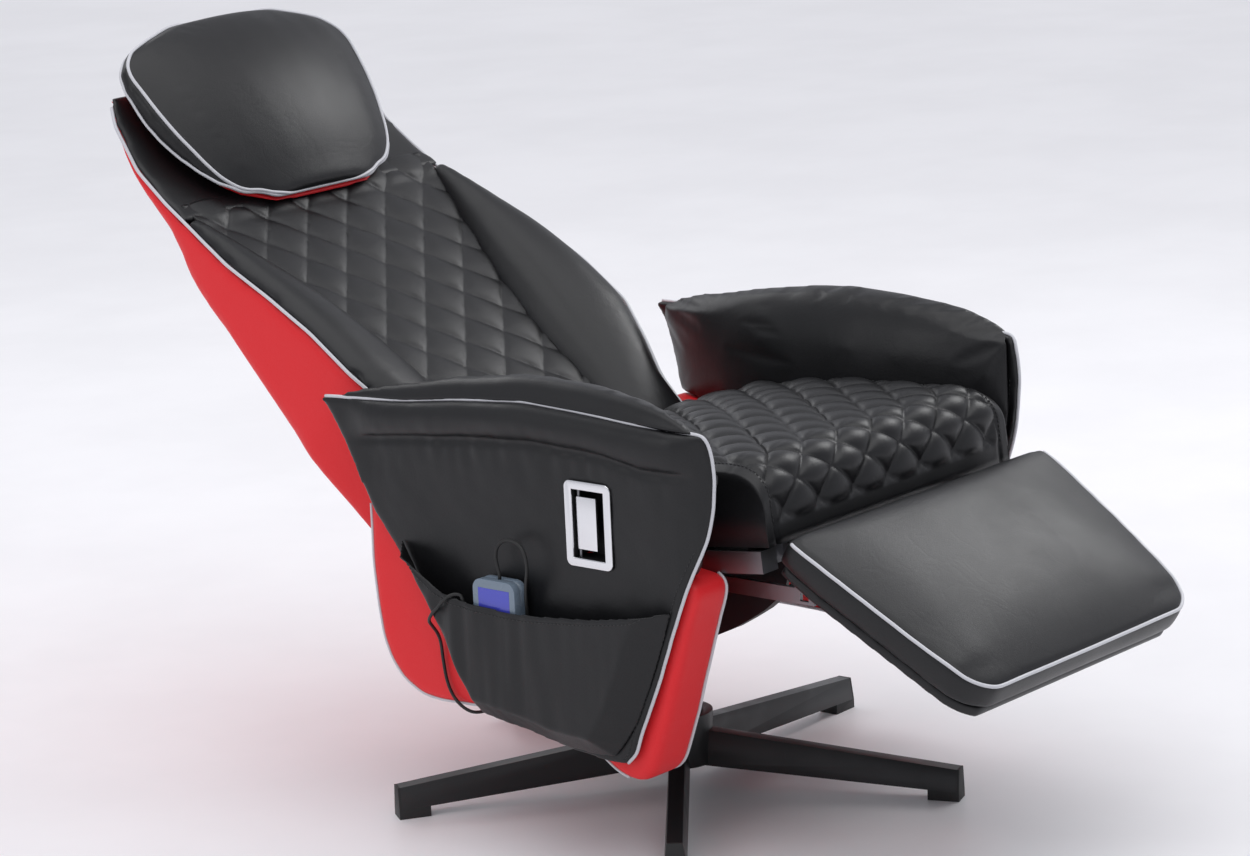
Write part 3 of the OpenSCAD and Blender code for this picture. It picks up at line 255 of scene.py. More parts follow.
@dataclass(frozen=True)
class Effect:
    """A named pattern that several finishes share, kept as one node group with one input."""

    name: str
    given: str
    outputs: tuple[str, ...]
    build: Callable[[Wiring, Socket], Sequence[Socket]]

    def group(self) -> bpy.types.NodeTree:
        """Makes the group once, and finds it after that."""
        found = bpy.data.node_groups.get(self.name)
        if found:
            return found
        tree = bpy.data.node_groups.new(self.name, "ShaderNodeTree")
        tree.interface.new_socket(name=self.given, in_out="INPUT", socket_type="NodeSocketFloat")
        for name in self.outputs:
            tree.interface.new_socket(name=name, in_out="OUTPUT", socket_type="NodeSocketFloat")
        w = Wiring(tree)
        made = self.build(w, w.add("NodeGroupInput").outputs[self.given])
        w.add("NodeGroupOutput", dict(zip(self.outputs, made)))
        return tree

    def place_in(self, w: Wiring, value: float) -> Sequence[Socket]:
        """Puts the group in a material.

        Args:
            w: The material's nodes.
            value: The group's input.

        Returns:
            The group's outputs in order.
        """
        node = w.add("ShaderNodeGroup", {self.given: value}, node_tree=self.group())
        return [node.outputs[name] for name in self.outputs]


def build_grain(w: Wiring, cells: Socket) -> Sequence[Socket]:
    """Pebbled leather: small cells of two sizes with soft pores between them."""
    place = w.place()
    small = w.span(w.cells(place, cells), 0.0, 0.22)
    large = w.span(w.cells(place, w.times(cells, 0.37)), 0.0, 0.3)
    pores = w.noise(place, w.times(cells, 2.1))
    return w.total((small, 0.5), (large, 0.35), (pores, 0.15)), w.span(w.times(small, large), 0, 0.8)


def build_creases(w: Wiring, folds: Socket) -> Sequence[Socket]:
    """Fine creases and soft waves of a stretched cover."""
    place = w.place()
    ridges = w.math("SUBTRACT", w.noise(place, folds, 3, 0.55, 0.6), 0.5)
    lines = w.span(w.math("ABSOLUTE", ridges, None), 0.0, 0.05)
    return (w.total((lines, 0.25), (w.noise(place, w.times(folds, 0.45)), 1.0)),)


def build_wear(w: Wiring, patches: Socket) -> Sequence[Socket]:
    """Patches that hands have rubbed and a scatter of short scuffs."""
    rubbed = w.span(w.noise(w.place(), patches, 4, 0.6), 0.42, 0.72)
    scuffs = w.span(w.noise(w.place((1, 6, 1)), w.times(patches, 9), 3, 0.7), 0.62, 0.8)
    return rubbed, w.times(rubbed, scuffs)


def build_peel(w: Wiring, grains: Socket) -> Sequence[Socket]:
    """The slightly pebbled skin of powder coat or moulded plastic."""
    place = w.place()
    fine = w.noise(place, grains)
    return w.total((fine, 0.6), (w.noise(place, w.times(grains, 0.2)), 0.4)), w.span(fine, 0.62, 0.75)


def build_brushing(w: Wiring, streaks: Socket) -> Sequence[Socket]:
    """Long fine streaks along Z."""
    streak = w.noise(w.place((1, 1, 0.02)), streaks, 3, 0.7)
    return w.span(streak, 0.3, 0.7), streak


def build_weave(w: Wiring, threads: Socket) -> Sequence[Socket]:
    """Plain weave of flat threads."""
    one, other = (
        w.add("ShaderNodeTexWave", {"Vector": w.place(), "Scale": threads}, wave_type="BANDS",
              bands_direction=direction, wave_profile="SIN").outputs["Fac"]
        for direction in ("X", "Y")
    )
    return w.times(one, other), w.span(w.math("ADD", one, other), 0.1, 0.6)


def build_plies(w: Wiring, figure: Socket) -> Sequence[Socket]:
    """Wood figure with the lines of its plies."""
    rings = w.noise(w.place((1, 0.08, 0.08)), figure, 5, 0.6, 0.4)
    pores = w.noise(w.place((1, 0.05, 0.05)), w.times(figure, 6), 3, 0.7)
    return w.total((rings, 1.0), (pores, 0.5)), w.span(rings, 0.3, 0.7)


GRAIN = Effect("leather_grain", "Cells", ("Height", "Tone"), build_grain)
CREASES = Effect("cover_creases", "Folds", ("Height",), build_creases)
WEAR = Effect("hand_wear", "Patches", ("Patches", "Scuffs"), build_wear)
PEEL = Effect("moulded_skin", "Grains", ("Height", "Specks"), build_peel)
BRUSHING = Effect("brushed_lines", "Streaks", ("Height", "Streak"), build_brushing)
WEAVE = Effect("webbing_weave", "Threads", ("Height", "Gaps"), build_weave)
PLIES = Effect("plywood_figure", "Figure", ("Height", "Tone"), build_plies)


@dataclass(frozen=True)
class Finish:
    """What every finish has: a name, its two colours, how it shines, and a pattern with its size."""

    name: str
    colour: Triple
    worn: Triple
    roughness: Pair
    metallic: float = 0.0
    coat: float = 0.0
    coat_roughness: float = 0.2
    specular: float = 0.5
    bump: float = 0.5
    depth: float = 0.0002
    patches: float = 7.0

    def masks(self, w: Wiring) -> Masks:
        """Where it is worn, where it is glossy, and its heights with the depth of each, in metres."""
        raise NotImplementedError

    def material(self) -> bpy.types.Material:
        """Builds the material from the finish's masks and heights."""
        material = bpy.data.materials.new(self.name)
        material.use_nodes = True
        material.diffuse_color = (*self.colour, 1)
        w = Wiring(material.node_tree)
        wear, gloss, heights = self.masks(w)
        normal = None
        for height, depth in heights:
            inputs = {"Strength": self.bump, "Distance": depth, "Height": height, "Normal": normal}
            normal = w.add("ShaderNodeBump", inputs).outputs["Normal"]
        values = {
            "Base Color": w.blend(wear, self.colour, self.worn),
            "Roughness": w.span(gloss, 0, 1, *self.roughness),
            "Metallic": self.metallic,
            "Coat Weight": self.coat,
            "Coat Roughness": self.coat_roughness,
            "Specular IOR Level": self.specular,
            "Normal": normal,
        }
        for key, value in values.items():
            w.feed(material.node_tree.nodes["Principled BSDF"].inputs[key], value)
        return material


@dataclass(frozen=True)
class Leather(Finish):
    """Imitation leather with a fine grain, stretched over foam."""

    patches: float = 5.0
    cells: float = 700.0
    folds: float = 14.0
    fold_depth: float = 0.0012

    def masks(self, w: Wiring) -> Masks:
        """Creases and grain, glossier where hands rub it."""
        grain, tone = GRAIN.place_in(w, self.cells)
        (creases,) = CREASES.place_in(w, self.folds)
        patches, scuffs = WEAR.place_in(w, self.patches)
        worn = w.total((scuffs, 0.35), (w.math("SUBTRACT", 1.0, tone), 0.175))
        return worn, w.total((patches, 0.5), (creases, 0.3)), [(creases, self.fold_depth), (grain, self.depth)]


@dataclass(frozen=True)
class Coated(Finish):
    """Powder coat, moulded plastic or rubber: one colour with a pebbled skin."""

    grains: float = 1200.0

    def masks(self, w: Wiring) -> Masks:
        """A pebbled skin with specks."""
        height, specks = PEEL.place_in(w, self.grains)
        patches, scuffs = WEAR.place_in(w, self.patches)
        return w.total((scuffs, 0.5), (specks, 0.15)), patches, [(height, self.depth)]


@dataclass(frozen=True)
class Metal(Finish):
    """Bare or plated metal with fine brushing."""

    metallic: float = 1.0
    patches: float = 9.0
    streaks: float = 900.0

    def masks(self, w: Wiring) -> Masks:
        """Brushing, with scuffs in the plating."""
        height, streak = BRUSHING.place_in(w, self.streaks)
        patches, scuffs = WEAR.place_in(w, self.patches)
        return scuffs, w.total((streak, 0.6), (patches, 0.4)), [(height, self.depth)]


@dataclass(frozen=True)
class Patterned(Finish):
    """Webbing or raw plywood: a pattern that also gives the tone."""

    pattern: Effect = WEAVE
    size: float = 320.0

    def masks(self, w: Wiring) -> Masks:
        """The pattern's heights and tones."""
        height, tone = self.pattern.place_in(w, self.size)
        return tone, WEAR.place_in(w, self.patches)[0], [(height, self.depth)]


class Slot(Enum):
    """The record's material slots, with the silver piping and the thread that have none."""

    BLACK_LEATHER = "black_leather"
    RED_LEATHER = "red_leather"
    BLACK_STEEL = "black_steel"
    STEEL = "steel"
    NYLON = "nylon"
    PLYWOOD = "plywood"
    CHROME = "chrome"
    BLACK_PLASTIC = "black_plastic"
    HANDSET_PLASTIC = "handset_plastic"
    LABEL_FILM = "label_film"
    RUBBER = "rubber"
    WEBBING = "webbing"
    PIPING = "silver_piping"
    THREAD = "black_thread"


FINISHES: dict[Slot, Finish] = {
    Slot.BLACK_LEATHER: Leather("black_leather_cover", (0.006, 0.006, 0.0068), (0.018, 0.018, 0.02), (0.34, 0.46),
                                specular=0.4, bump=0.3, fold_depth=0.0005),
    Slot.RED_LEATHER: Leather("red_leather_cover", (0.78, 0.014, 0.02), (0.8, 0.05, 0.055), (0.42, 0.56),
                              specular=0.35, bump=0.3, fold_depth=0.0008),
    Slot.BLACK_STEEL: Coated("satin_powder_coat", (0.011, 0.011, 0.012), (0.05, 0.05, 0.05), (0.36, 0.5),
                             depth=0.00006, bump=0.4),
    # Steel parts: the colour is darkened below the plated metal's own to paint in the shade that falls on them
    # under the seat.
    Slot.STEEL: Metal("zinc_plate", (0.26, 0.26, 0.275), (0.18, 0.175, 0.16), (0.32, 0.5), depth=0.00002, bump=0.3),
    Slot.NYLON: Coated("natural_nylon", (0.74, 0.74, 0.69), (0.6, 0.58, 0.5), (0.4, 0.55), depth=0.00005, bump=0.3),
    Slot.PLYWOOD: Patterned("raw_plywood", (0.58, 0.4, 0.21), (0.4, 0.25, 0.12), (0.6, 0.75), bump=0.4, patches=8.0,
                            pattern=PLIES, size=30.0),
    Slot.CHROME: Metal("bright_chrome", (0.8, 0.8, 0.82), (0.6, 0.6, 0.6), (0.08, 0.2), depth=0.00001, bump=0.15),
    Slot.BLACK_PLASTIC: Coated("moulded_black_plastic", (0.014, 0.014, 0.015), (0.05, 0.05, 0.05), (0.42, 0.58),
                               depth=0.00008, bump=0.5),
    Slot.HANDSET_PLASTIC: Coated("grey_blue_plastic", (0.17, 0.22, 0.28), (0.26, 0.31, 0.36), (0.26, 0.4),
                                 depth=0.00003, bump=0.3, coat=0.3),
    Slot.LABEL_FILM: Coated("violet_blue_film", (0.06, 0.07, 0.5), (0.12, 0.14, 0.6), (0.2, 0.32),
                            depth=0.00002, bump=0.2, coat=0.4),
    Slot.RUBBER: Coated("black_rubber", (0.012, 0.012, 0.012), (0.04, 0.04, 0.04), (0.5, 0.7), depth=0.0001),
    Slot.WEBBING: Patterned("black_webbing", (0.03, 0.03, 0.03), (0.008, 0.008, 0.008), (0.75, 0.9),
                            depth=0.0004, bump=0.8, patches=12.0),
    Slot.PIPING: Leather("silver_piping", (0.62, 0.62, 0.65), (0.42, 0.42, 0.45), (0.3, 0.42),
                         specular=0.6, bump=0.3, cells=1500.0, fold_depth=0.0003),
    Slot.THREAD: Coated("waxed_black_thread", (0.02, 0.02, 0.021), (0.05, 0.05, 0.05), (0.45, 0.6),
                        depth=0.0001, bump=0.6, grains=2500.0),
}


class Workshop:
    """Holds the finishes and puts each finished piece on its body."""

    def __init__(self, frame: dict) -> None:
        """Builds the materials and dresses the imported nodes.
        """
        self.nodes: dict[str, Piece] = frame["nodes"]
        self.materials = {slot: finish.material() for slot, finish in FINISHES.items()}
        self.slots = {part["node"]: Slot(part["material_slot"]) for part in frame["record"]["subparts"]}
        for name, node in self.nodes.items():
            self.dress(node, self.slots[name])

    def dress(self, piece: Piece, slot: Slot) -> None:
        """Gives a piece one material."""
        piece.data.materials.clear()
        piece.data.materials.append(self.materials[slot])

    def stand_for(self, piece: Piece, *nodes: str) -> None:
        """Gives a piece its nodes' finish and hides the nodes that it stands for."""
        slot = self.slots[nodes[0]]
        self.dress(piece, slot)
        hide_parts(*nodes)

    def deliver(self, piece: Piece, body: str, *nodes: str, fill: float | None = None) -> None:
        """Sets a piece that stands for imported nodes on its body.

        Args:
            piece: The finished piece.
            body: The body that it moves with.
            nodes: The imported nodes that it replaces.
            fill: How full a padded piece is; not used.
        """
        self.stand_for(piece, *nodes)
        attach(piece, body)
        LOG.info("%s rides on %s", piece.name, body)

    def trim(self, piece: Piece, body: str, slot: Slot) -> None:
        """Sets piping or stitching on its body."""
        self.dress(piece, slot)
        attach(piece, body)
        LOG.info("%s trims %s", piece.name, body)


# ---------------------------------------------------------------- making


def new_piece(name: str, bm: bmesh.types.BMesh) -> Piece:
    """Turns a bmesh into an object in the scene, and frees the bmesh."""
    mesh = bpy.data.meshes.new(name)
    bm.to_mesh(mesh)
    bm.free()
    mesh.shade_smooth()
    piece = bpy.data.objects.new(name, mesh)
    bpy.context.scene.collection.objects.link(piece)
    return piece


def merged(mesh: bpy.types.Mesh, near: float = MERGED_M) -> bmesh.types.BMesh:
    """A bmesh of a mesh with the points that lie together made one."""
    bm = bmesh.new()
    bm.from_mesh(mesh)
    bmesh.ops.remove_doubles(bm, verts=bm.verts, dist=near)
    return bm


def bake(piece: Piece) -> None:
    """Applies a piece's modifiers to its mesh."""
    graph = bpy.context.evaluated_depsgraph_get()
    mesh = bpy.data.meshes.new_from_object(piece.evaluated_get(graph))
    old = piece.data
    piece.modifiers.clear()
    piece.data = mesh
    bpy.data.meshes.remove(old)
    mesh.name = piece.name
    mesh.shade_smooth()


def soft_copy(node: Piece, name: str, voxel: float, rounds: int, tilt: float = 0.0) -> Piece:
    """A packed soft solid, remeshed evenly with its edges rounded.

    Args:
        node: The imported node.
        name: The new piece's name.
        voxel: Spacing of the new mesh, in millimetres.
        rounds: How many times it is smoothed.
        tilt: Angle of its main face about X, in degrees, which the new mesh follows.

    Returns:
        The new piece.
    """
    turn = Matrix.Rotation(math.radians(tilt), 4, "X")
    bm = merged(node.data)
    bmesh.ops.transform(bm, matrix=turn.inverted(), verts=bm.verts)
    piece = new_piece(name, bm)
    remesh = piece.modifiers.new("remesh", "REMESH")
    remesh.mode = "VOXEL"
    remesh.voxel_size = voxel * MM
    bake(piece)
    bm = bmesh.new()
    bm.from_mesh(piece.data)
    for _ in range(rounds):
        bmesh.ops.smooth_vert(bm, verts=bm.verts, factor=0.5, use_axis_x=True, use_axis_y=True, use_axis_z=True)
    bmesh.ops.transform(bm, matrix=turn, verts=bm.verts)
    bm.to_mesh(piece.data)
    bm.free()
    piece.data.shade_smooth()
    return piece


def bevelled_copy(node: Piece, name: str, width: float, segments: int) -> Piece:
    """A packed hard solid with its sharp edges rounded.

    Args:
        node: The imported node.
        name: The new piece's name.
        width: Width of the rounding, in millimetres.
        segments: Faces across it.

    Returns:
        The new piece.
    """
    bm = merged(node.data)
    bmesh.ops.dissolve_limit(bm, angle_limit=math.radians(1), verts=bm.verts, edges=bm.edges)
    piece = new_piece(name, bm)
    bevel = piece.modifiers.new("bevel", "BEVEL")
    bevel.width = width * MM
    bevel.segments = segments
    bevel.limit_method = "ANGLE"
    bevel.angle_limit = math.radians(38)
    bake(piece)
    piece.data.set_sharp_from_angle(angle=math.radians(35))
    return piece


@dataclass(frozen=True)
class Cloth:
    """Blows pads up as covers over foam, with their hidden faces and their seams held."""

    pressure: float = 4.0
    frames: int = 20
    quality: int = 4
    loose_dot: float = 0.45
    held_dot: float = 0.75
    seam_grip: float = 1.8
    seam_reach: float = 7

    def grips(self, piece: Piece, held: Line, seam: Line) -> dict[int, float]:
        """How firmly each point is held, by its number."""
        tree = KDTree(max(1, len(seam)))
        for i, point in enumerate(seam):
            tree.insert(point, i)
        tree.balance()
        out = {}
        for v in piece.data.vertices:
            facing = max((v.normal.dot(d) for d in held), default=0.0)
            grip = (facing - self.loose_dot) / (self.held_dot - self.loose_dot)
            if seam:
                grip = max(grip, self.seam_grip - tree.find(v.co)[2] / (self.seam_reach * MM))
            if grip > 0:
                out[v.index] = min(1.0, grip)
        return out

    def swell(self, piece: Piece, cap: float, held: Line, seam: Line = ()) -> None:
        """Blows a pad up and refines it.

        Args:
            piece: The pad, evenly meshed.
            cap: How far a point may move, in millimetres.
            held: Directions whose faces stay where they are.
            seam: Points of the seams that draw the cover in.
        """
        mesh, scene = piece.data, bpy.context.scene
        rest = [v.co.copy() for v in mesh.vertices]
        group = piece.vertex_groups.new(name="held")
        for number, grip in self.grips(piece, held, seam).items():
            group.add([number], grip, "REPLACE")
        cloth = piece.modifiers.new("cloth", "CLOTH")
        settings = cloth.settings
        settings.vertex_group_mass = group.name
        settings.use_pressure = True
        settings.uniform_pressure_force = self.pressure
        settings.effector_weights.gravity = 0
        settings.quality = self.quality
        cloth.point_cache.frame_start, cloth.point_cache.frame_end = 1, self.frames
        for frame in range(1, self.frames + 1):
            scene.frame_set(frame)
        graph = bpy.context.evaluated_depsgraph_get()
        puffed = [v.co.copy() for v in piece.evaluated_get(graph).data.vertices]
        piece.modifiers.clear()
        piece.vertex_groups.clear()
        scene.frame_set(1)
        for v, old, new in zip(mesh.vertices, rest, puffed):
            move = new - old
            if move.length > cap * MM:
                move *= cap * MM / move.length
            v.co = old + move
        mesh.update()
        surface = piece.modifiers.new("subdivision", "SUBSURF")
        surface.levels = surface.render_levels = 1
        bake(piece)


CLOTH = Cloth()


def relief(piece: Piece, height: Height) -> None:
    """Moves a piece's points along their normals, by millimetres from their place and normal."""
    moves = [v.normal * height(v.co, v.normal) * MM for v in piece.data.vertices]
    for v, move in zip(piece.data.vertices, moves):
        v.co += move
    piece.data.update()


def waves(size: float, depth: float, seed: float = 0.0) -> Height:
    """Soft unevenness of a hand-stretched cover.

    Args:
        size: Length of a wave, in millimetres.
        depth: Its height, in millimetres.
        seed: Shifts the pattern.

    Returns:
        A height for relief().
    """
    return lambda place, _normal: depth * noise.noise(place / (size * MM) + Vector((seed, 0, 0)))


def spaced(points: Line, step: float = LINE_STEP, closed: bool = False) -> list[Vector]:
    """A smooth line through points, at even steps.

    Args:
        points: The points that the line passes.
        step: Distance between the new points, in millimetres.
        closed: Whether the line ends where it starts.

    Returns:
        The new points.
    """
    n, parts = len(points), 12
    dense: list[Vector] = []
    for i in range(n if closed else n - 1):
        a, b, c, d = (points[(i + k) % n] if closed else points[max(0, min(n - 1, i + k))] for k in (-1, 0, 1, 2))
        for k in range(parts):
            t = k / parts
            place = 2 * b + (c - a) * t + (2 * a - 5 * b + 4 * c - d) * t * t
            dense.append(0.5 * (place + (3 * b - a - 3 * c + d) * t * t * t))
    dense.append(points[0] if closed else points[-1])
    out, left = [dense[0].copy()], step * MM
    for a, b in zip(dense, dense[1:]):
        length = (b - a).length
        at = left
        while at <= length:
            out.append(a.lerp(b, at / length))
            at += step * MM
        left = at - length
    if not closed and (out[-1] - dense[-1]).length > 0.3 * step * MM:
        out.append(dense[-1].copy())
    return out


def on_surface(points: Line, piece: Piece, lift: float) -> list[Vector]:
    """Moves points onto the nearest place of a piece, and lifts them off it by some millimetres."""
    bm = bmesh.new()
    bm.from_mesh(piece.data)
    tree = BVHTree.FromBMesh(bm)
    bm.free()
    hits = (tree.find_nearest(point) for point in points)
    return [place + normal * lift * MM for place, normal, _, _ in hits]


def relaxed(points: Line, rounds: int = 4, closed: bool = False) -> list[Vector]:
    """Evens out a line of points."""
    line = [p.copy() for p in points]
    n = len(line)
    for _ in range(rounds):
        line = [p if not closed and i in (0, n - 1) else (line[i - 1] + 2 * p + line[(i + 1) % n]) / 4
                for i, p in enumerate(line)]
    return line


def new_curve(name: str, radius: float, sides: int) -> bpy.types.Curve:
    """An empty curve that lines go into, round in section with closed ends."""
    curve = bpy.data.curves.new(name, "CURVE")
    curve.dimensions = "3D"
    curve.bevel_depth = radius * MM
    curve.bevel_resolution = sides
    curve.use_fill_caps = True
    return curve


def add_line(curve: bpy.types.Curve, points: Line, closed: bool = False, radii: Sequence[float] = ()) -> None:
    """Adds a line of points to a curve, with a radius for each where given."""
    spline = curve.splines.new("POLY")
    spline.points.add(len(points) - 1)
    for point, place in zip(spline.points, points):
        point.co = (*place, 1)
    for point, radius in zip(spline.points, radii):
        point.radius = radius
    spline.use_cyclic_u = closed


def from_curve(curve: bpy.types.Curve) -> Piece:
    """Turns a curve into a closed mesh piece of the same name."""
    name = curve.name
    holder = bpy.data.objects.new(name + "_line", curve)
    bpy.context.scene.collection.objects.link(holder)
    mesh = bpy.data.meshes.new_from_object(holder.evaluated_get(bpy.context.evaluated_depsgraph_get()))
    bpy.data.objects.remove(holder)
    bpy.data.curves.remove(curve)
    bm = merged(mesh, MERGED_M / 10)
    bpy.data.meshes.remove(mesh)
    bmesh.ops.recalc_face_normals(bm, faces=bm.faces)
    return new_piece(name, bm)


def tube(name: str, points: Line, radius: float, closed: bool = False, sides: int = 3) -> Piece:
    """A round cord along a line.

    Args:
        name: The piece's name.
        points: Its centreline.
        radius: In millimetres.
        closed: Whether it is a ring.
        sides: How finely it is rounded.

    Returns:
        The piece, as a mesh.
    """
    curve = new_curve(name, radius, sides)
    line = list(points)[:-1] if closed and (points[0] - points[-1]).length < 1e-4 else list(points)
    add_line(curve, line, closed)
    return from_curve(curve)


def stitches(name: str, lines: Iterable[Line]) -> Piece:
    """A row of thread stitches along each line on a cover's surface."""
    pitch, length, radius = 5.5, 3.6, 0.5
    curve = new_curve(name, radius, 1)
    for line in lines:
        places = spaced(line, pitch) if len(line) > 2 else []
        for a, b in zip(places, places[1:]):
            if (b - a).length > 0.5 * pitch * MM:
                stitch = [a.lerp(b, 0.5 + k * length / pitch) for k in (-0.5, -0.4, 0.4, 0.5)]
                add_line(curve, stitch, False, (0.4, 1, 1, 0.4))
    return from_curve(curve)


def quilted_sheet(name: str, across: int, along: int, form: Callable[[float, float], Vector],
                  under: Callable[[Vector], Vector],
                  keep: Callable[[float, float], bool] = lambda a, b: True) -> Piece:
    """A sewn cover from an even grid, with its edge turned down and closed.

    Args:
        name: The piece's name.
        across: Cells across.
        along: Cells along.
        form: The place for shares across and along, each from 0 to 1.
        under: The place on the underside below a place on the edge.
        keep: Whether the cover holds a point.

    Returns:
        The closed piece.
    """
    bm = bmesh.new()
    bmesh.ops.create_grid(bm, x_segments=across, y_segments=along, size=0.5)
    shares = {v: (v.co.x + 0.5, v.co.y + 0.5) for v in bm.verts}
    dropped = [v for v, (a, b) in shares.items() if not keep(a, b)]
    for v, (a, b) in shares.items():
        v.co = form(a, b)
    bmesh.ops.delete(bm, geom=dropped, context="VERTS")
    edge = [e for e in bm.edges if e.is_boundary]
    for share in (0.1, 0.4, 1.0):
        grown = bmesh.ops.extrude_edge_only(bm, edges=edge)["geom"]
        for v in (g for g in grown if isinstance(g, bmesh.types.BMVert)):
            v.co = v.co.lerp(under(v.co), share)
        edge = [g for g in grown if isinstance(g, bmesh.types.BMEdge) and g.is_boundary]
    bmesh.ops.holes_fill(bm, edges=edge)
    bmesh.ops.recalc_face_normals(bm, faces=bm.faces)
    return new_piece(name, bm)


def puff(a: float, b: float, fullness: float) -> float:
    """Height of a sewn diamond, 0 on its seams and 1 at its middle, steeper by the seams with a lower fullness."""
    return abs(math.sin(math.pi * (a + b)) * math.sin(math.pi * (a - b))) ** fullness


def diagonals(numbers: range, steps: Iterable[float], width: float, row: Callable[[float], float],
              place: Callable[[float, float], Vector],
              inside: Callable[[float, float], bool]) -> list[list[Vector]]:
    """The lines of stitching along both diagonals of a quilt.

    Args:
        numbers: The diagonals, counted from the one that starts in the middle.
        steps: Places along the quilt.
        width: Width of a diamond.
        row: Counts the diamonds up to a place along.
        place: The place on the cover, from across and along.
        inside: Whether the quilt reaches a place.

    Returns:
        The lines.
    """
    steps = list(steps)
    lines = []
    for n in numbers:
        for sign in (1, -1):
            spots = ((width * (n - sign * row(s)) * sign, s) for s in steps)
            lines.append([place(x, s) for x, s in spots if inside(x, s)])
    return lines


# ---------------------------------------------------------------- the chair


@dataclass
class SeatCushion:
    """Seat with sewn diamonds over its top, its rolled front and its front face.

    Its rows count quarter diamonds from the bottom of the front.
    """

    width: float = 460
    depth: float = 424
    height: float = 110
    nose: float = 46
    nose_u: float = -14
    face_low: float = 18
    face_rows: int = 2
    nose_rows: int = 5
    rows: int = 28
    diamond_w: float = 64
    plump: float = 9
    fullness: float = 0.36
    quilt_half: float = 213
    seam_depth: float = 2.5
    rim_from: float = 192
    rim_drop: float = 0.13
    wave: float = 0.8
    cells: tuple[int, int] = (184, 180)
    top: Table = ((0, 0.79), (0.12, 0.9), (0.52, 1), (0.8, 0.95), (1, 0.8))

    def top_at(self, u: float) -> float:
        """Height of the seat's top at a depth."""
        return self.height * lookup((u - self.nose_u) / self.depth, self.top)

    def profile(self, k: float) -> Triple:
        """Depth, height and facing of a row."""
        high = self.top_at(self.nose_u + self.nose)
        level = self.face_rows + self.nose_rows
        if k < self.face_rows:
            rise = high - self.nose - self.face_low
            return self.nose_u, self.face_low + rise * k / self.face_rows, math.pi
        if k < level:
            a = math.pi - math.pi / 2 * (k - self.face_rows) / self.nose_rows
            return self.nose_u + self.nose * (1 + math.cos(a)), high - self.nose + self.nose * math.sin(a), a
        u = self.nose_u + self.nose + (self.depth - self.nose) * (k - level) / (self.rows - level)
        return u, self.top_at(u), math.pi / 2

    def place(self, x: float, k: float, proud: float = 0.0) -> Vector:
        """A place on the cover.

        Args:
            x: Millimetres from the middle.
            k: The row.
            proud: Millimetres above the cover.

        Returns:
            The place, in metres.
        """
        u, v, facing = self.profile(k)
        border = self.quilt_half - abs(x)
        rim = 1 - self.rim_drop * max(0.0, (abs(x) - self.rim_from) / (self.width / 2 - self.rim_from)) ** 2
        sewn = smooth(border / 3) * smooth((k - 0.25) / 0.5)
        lift = self.plump * (puff(x / self.diamond_w, (k - 1) / 4, self.fullness) - 1) * sewn
        lift -= self.plump * 0.35 * (1 - sewn)
        lift += proud - self.seam_depth * bell(border, 2.5)
        lift += self.wave * noise.noise(Vector((x / 45, k / 2.6, 3)))
        return CHAIR.seat(x, u + lift * math.cos(facing), v * rim + lift * math.sin(facing))

    def seams(self) -> list[list[Vector]]:
        """The lines of stitching, along both diagonals and round the border."""
        lines = diagonals(
            range(-8, 16), (0.6 + i / 4 for i in range(self.rows * 4)), self.diamond_w, lambda k: (k - 1) / 4,
            lambda x, k: self.place(x, k, 0.5), lambda x, k: abs(x) < self.quilt_half - 3 and k < self.rows - 0.5)
        for side in Side:
            x = side.value * (self.quilt_half + 3.5)
            lines.append([self.place(x, 0.5 + i / 2, 0.5) for i in range(self.rows * 2 - 2)])
        return lines

    def build(self, shop: Workshop) -> None:
        """Builds the cushion and its stitching."""
        base = CHAIR.seat(0, 0, 0.3)
        up = (CHAIR.seat(0, 0, 1) - CHAIR.seat(0, 0, 0)).normalized()
        cover = quilted_sheet("quilted_seat", *self.cells,
                              lambda a, b: self.place((2 * a - 1) * self.width / 2, b * self.rows),
                              lambda co: co - up * (co - base).dot(up))
        shop.deliver(cover, "seat", "seat_cushion", fill=0.8)
        shop.trim(stitches("seat_stitching", self.seams()), "seat", Slot.THREAD)


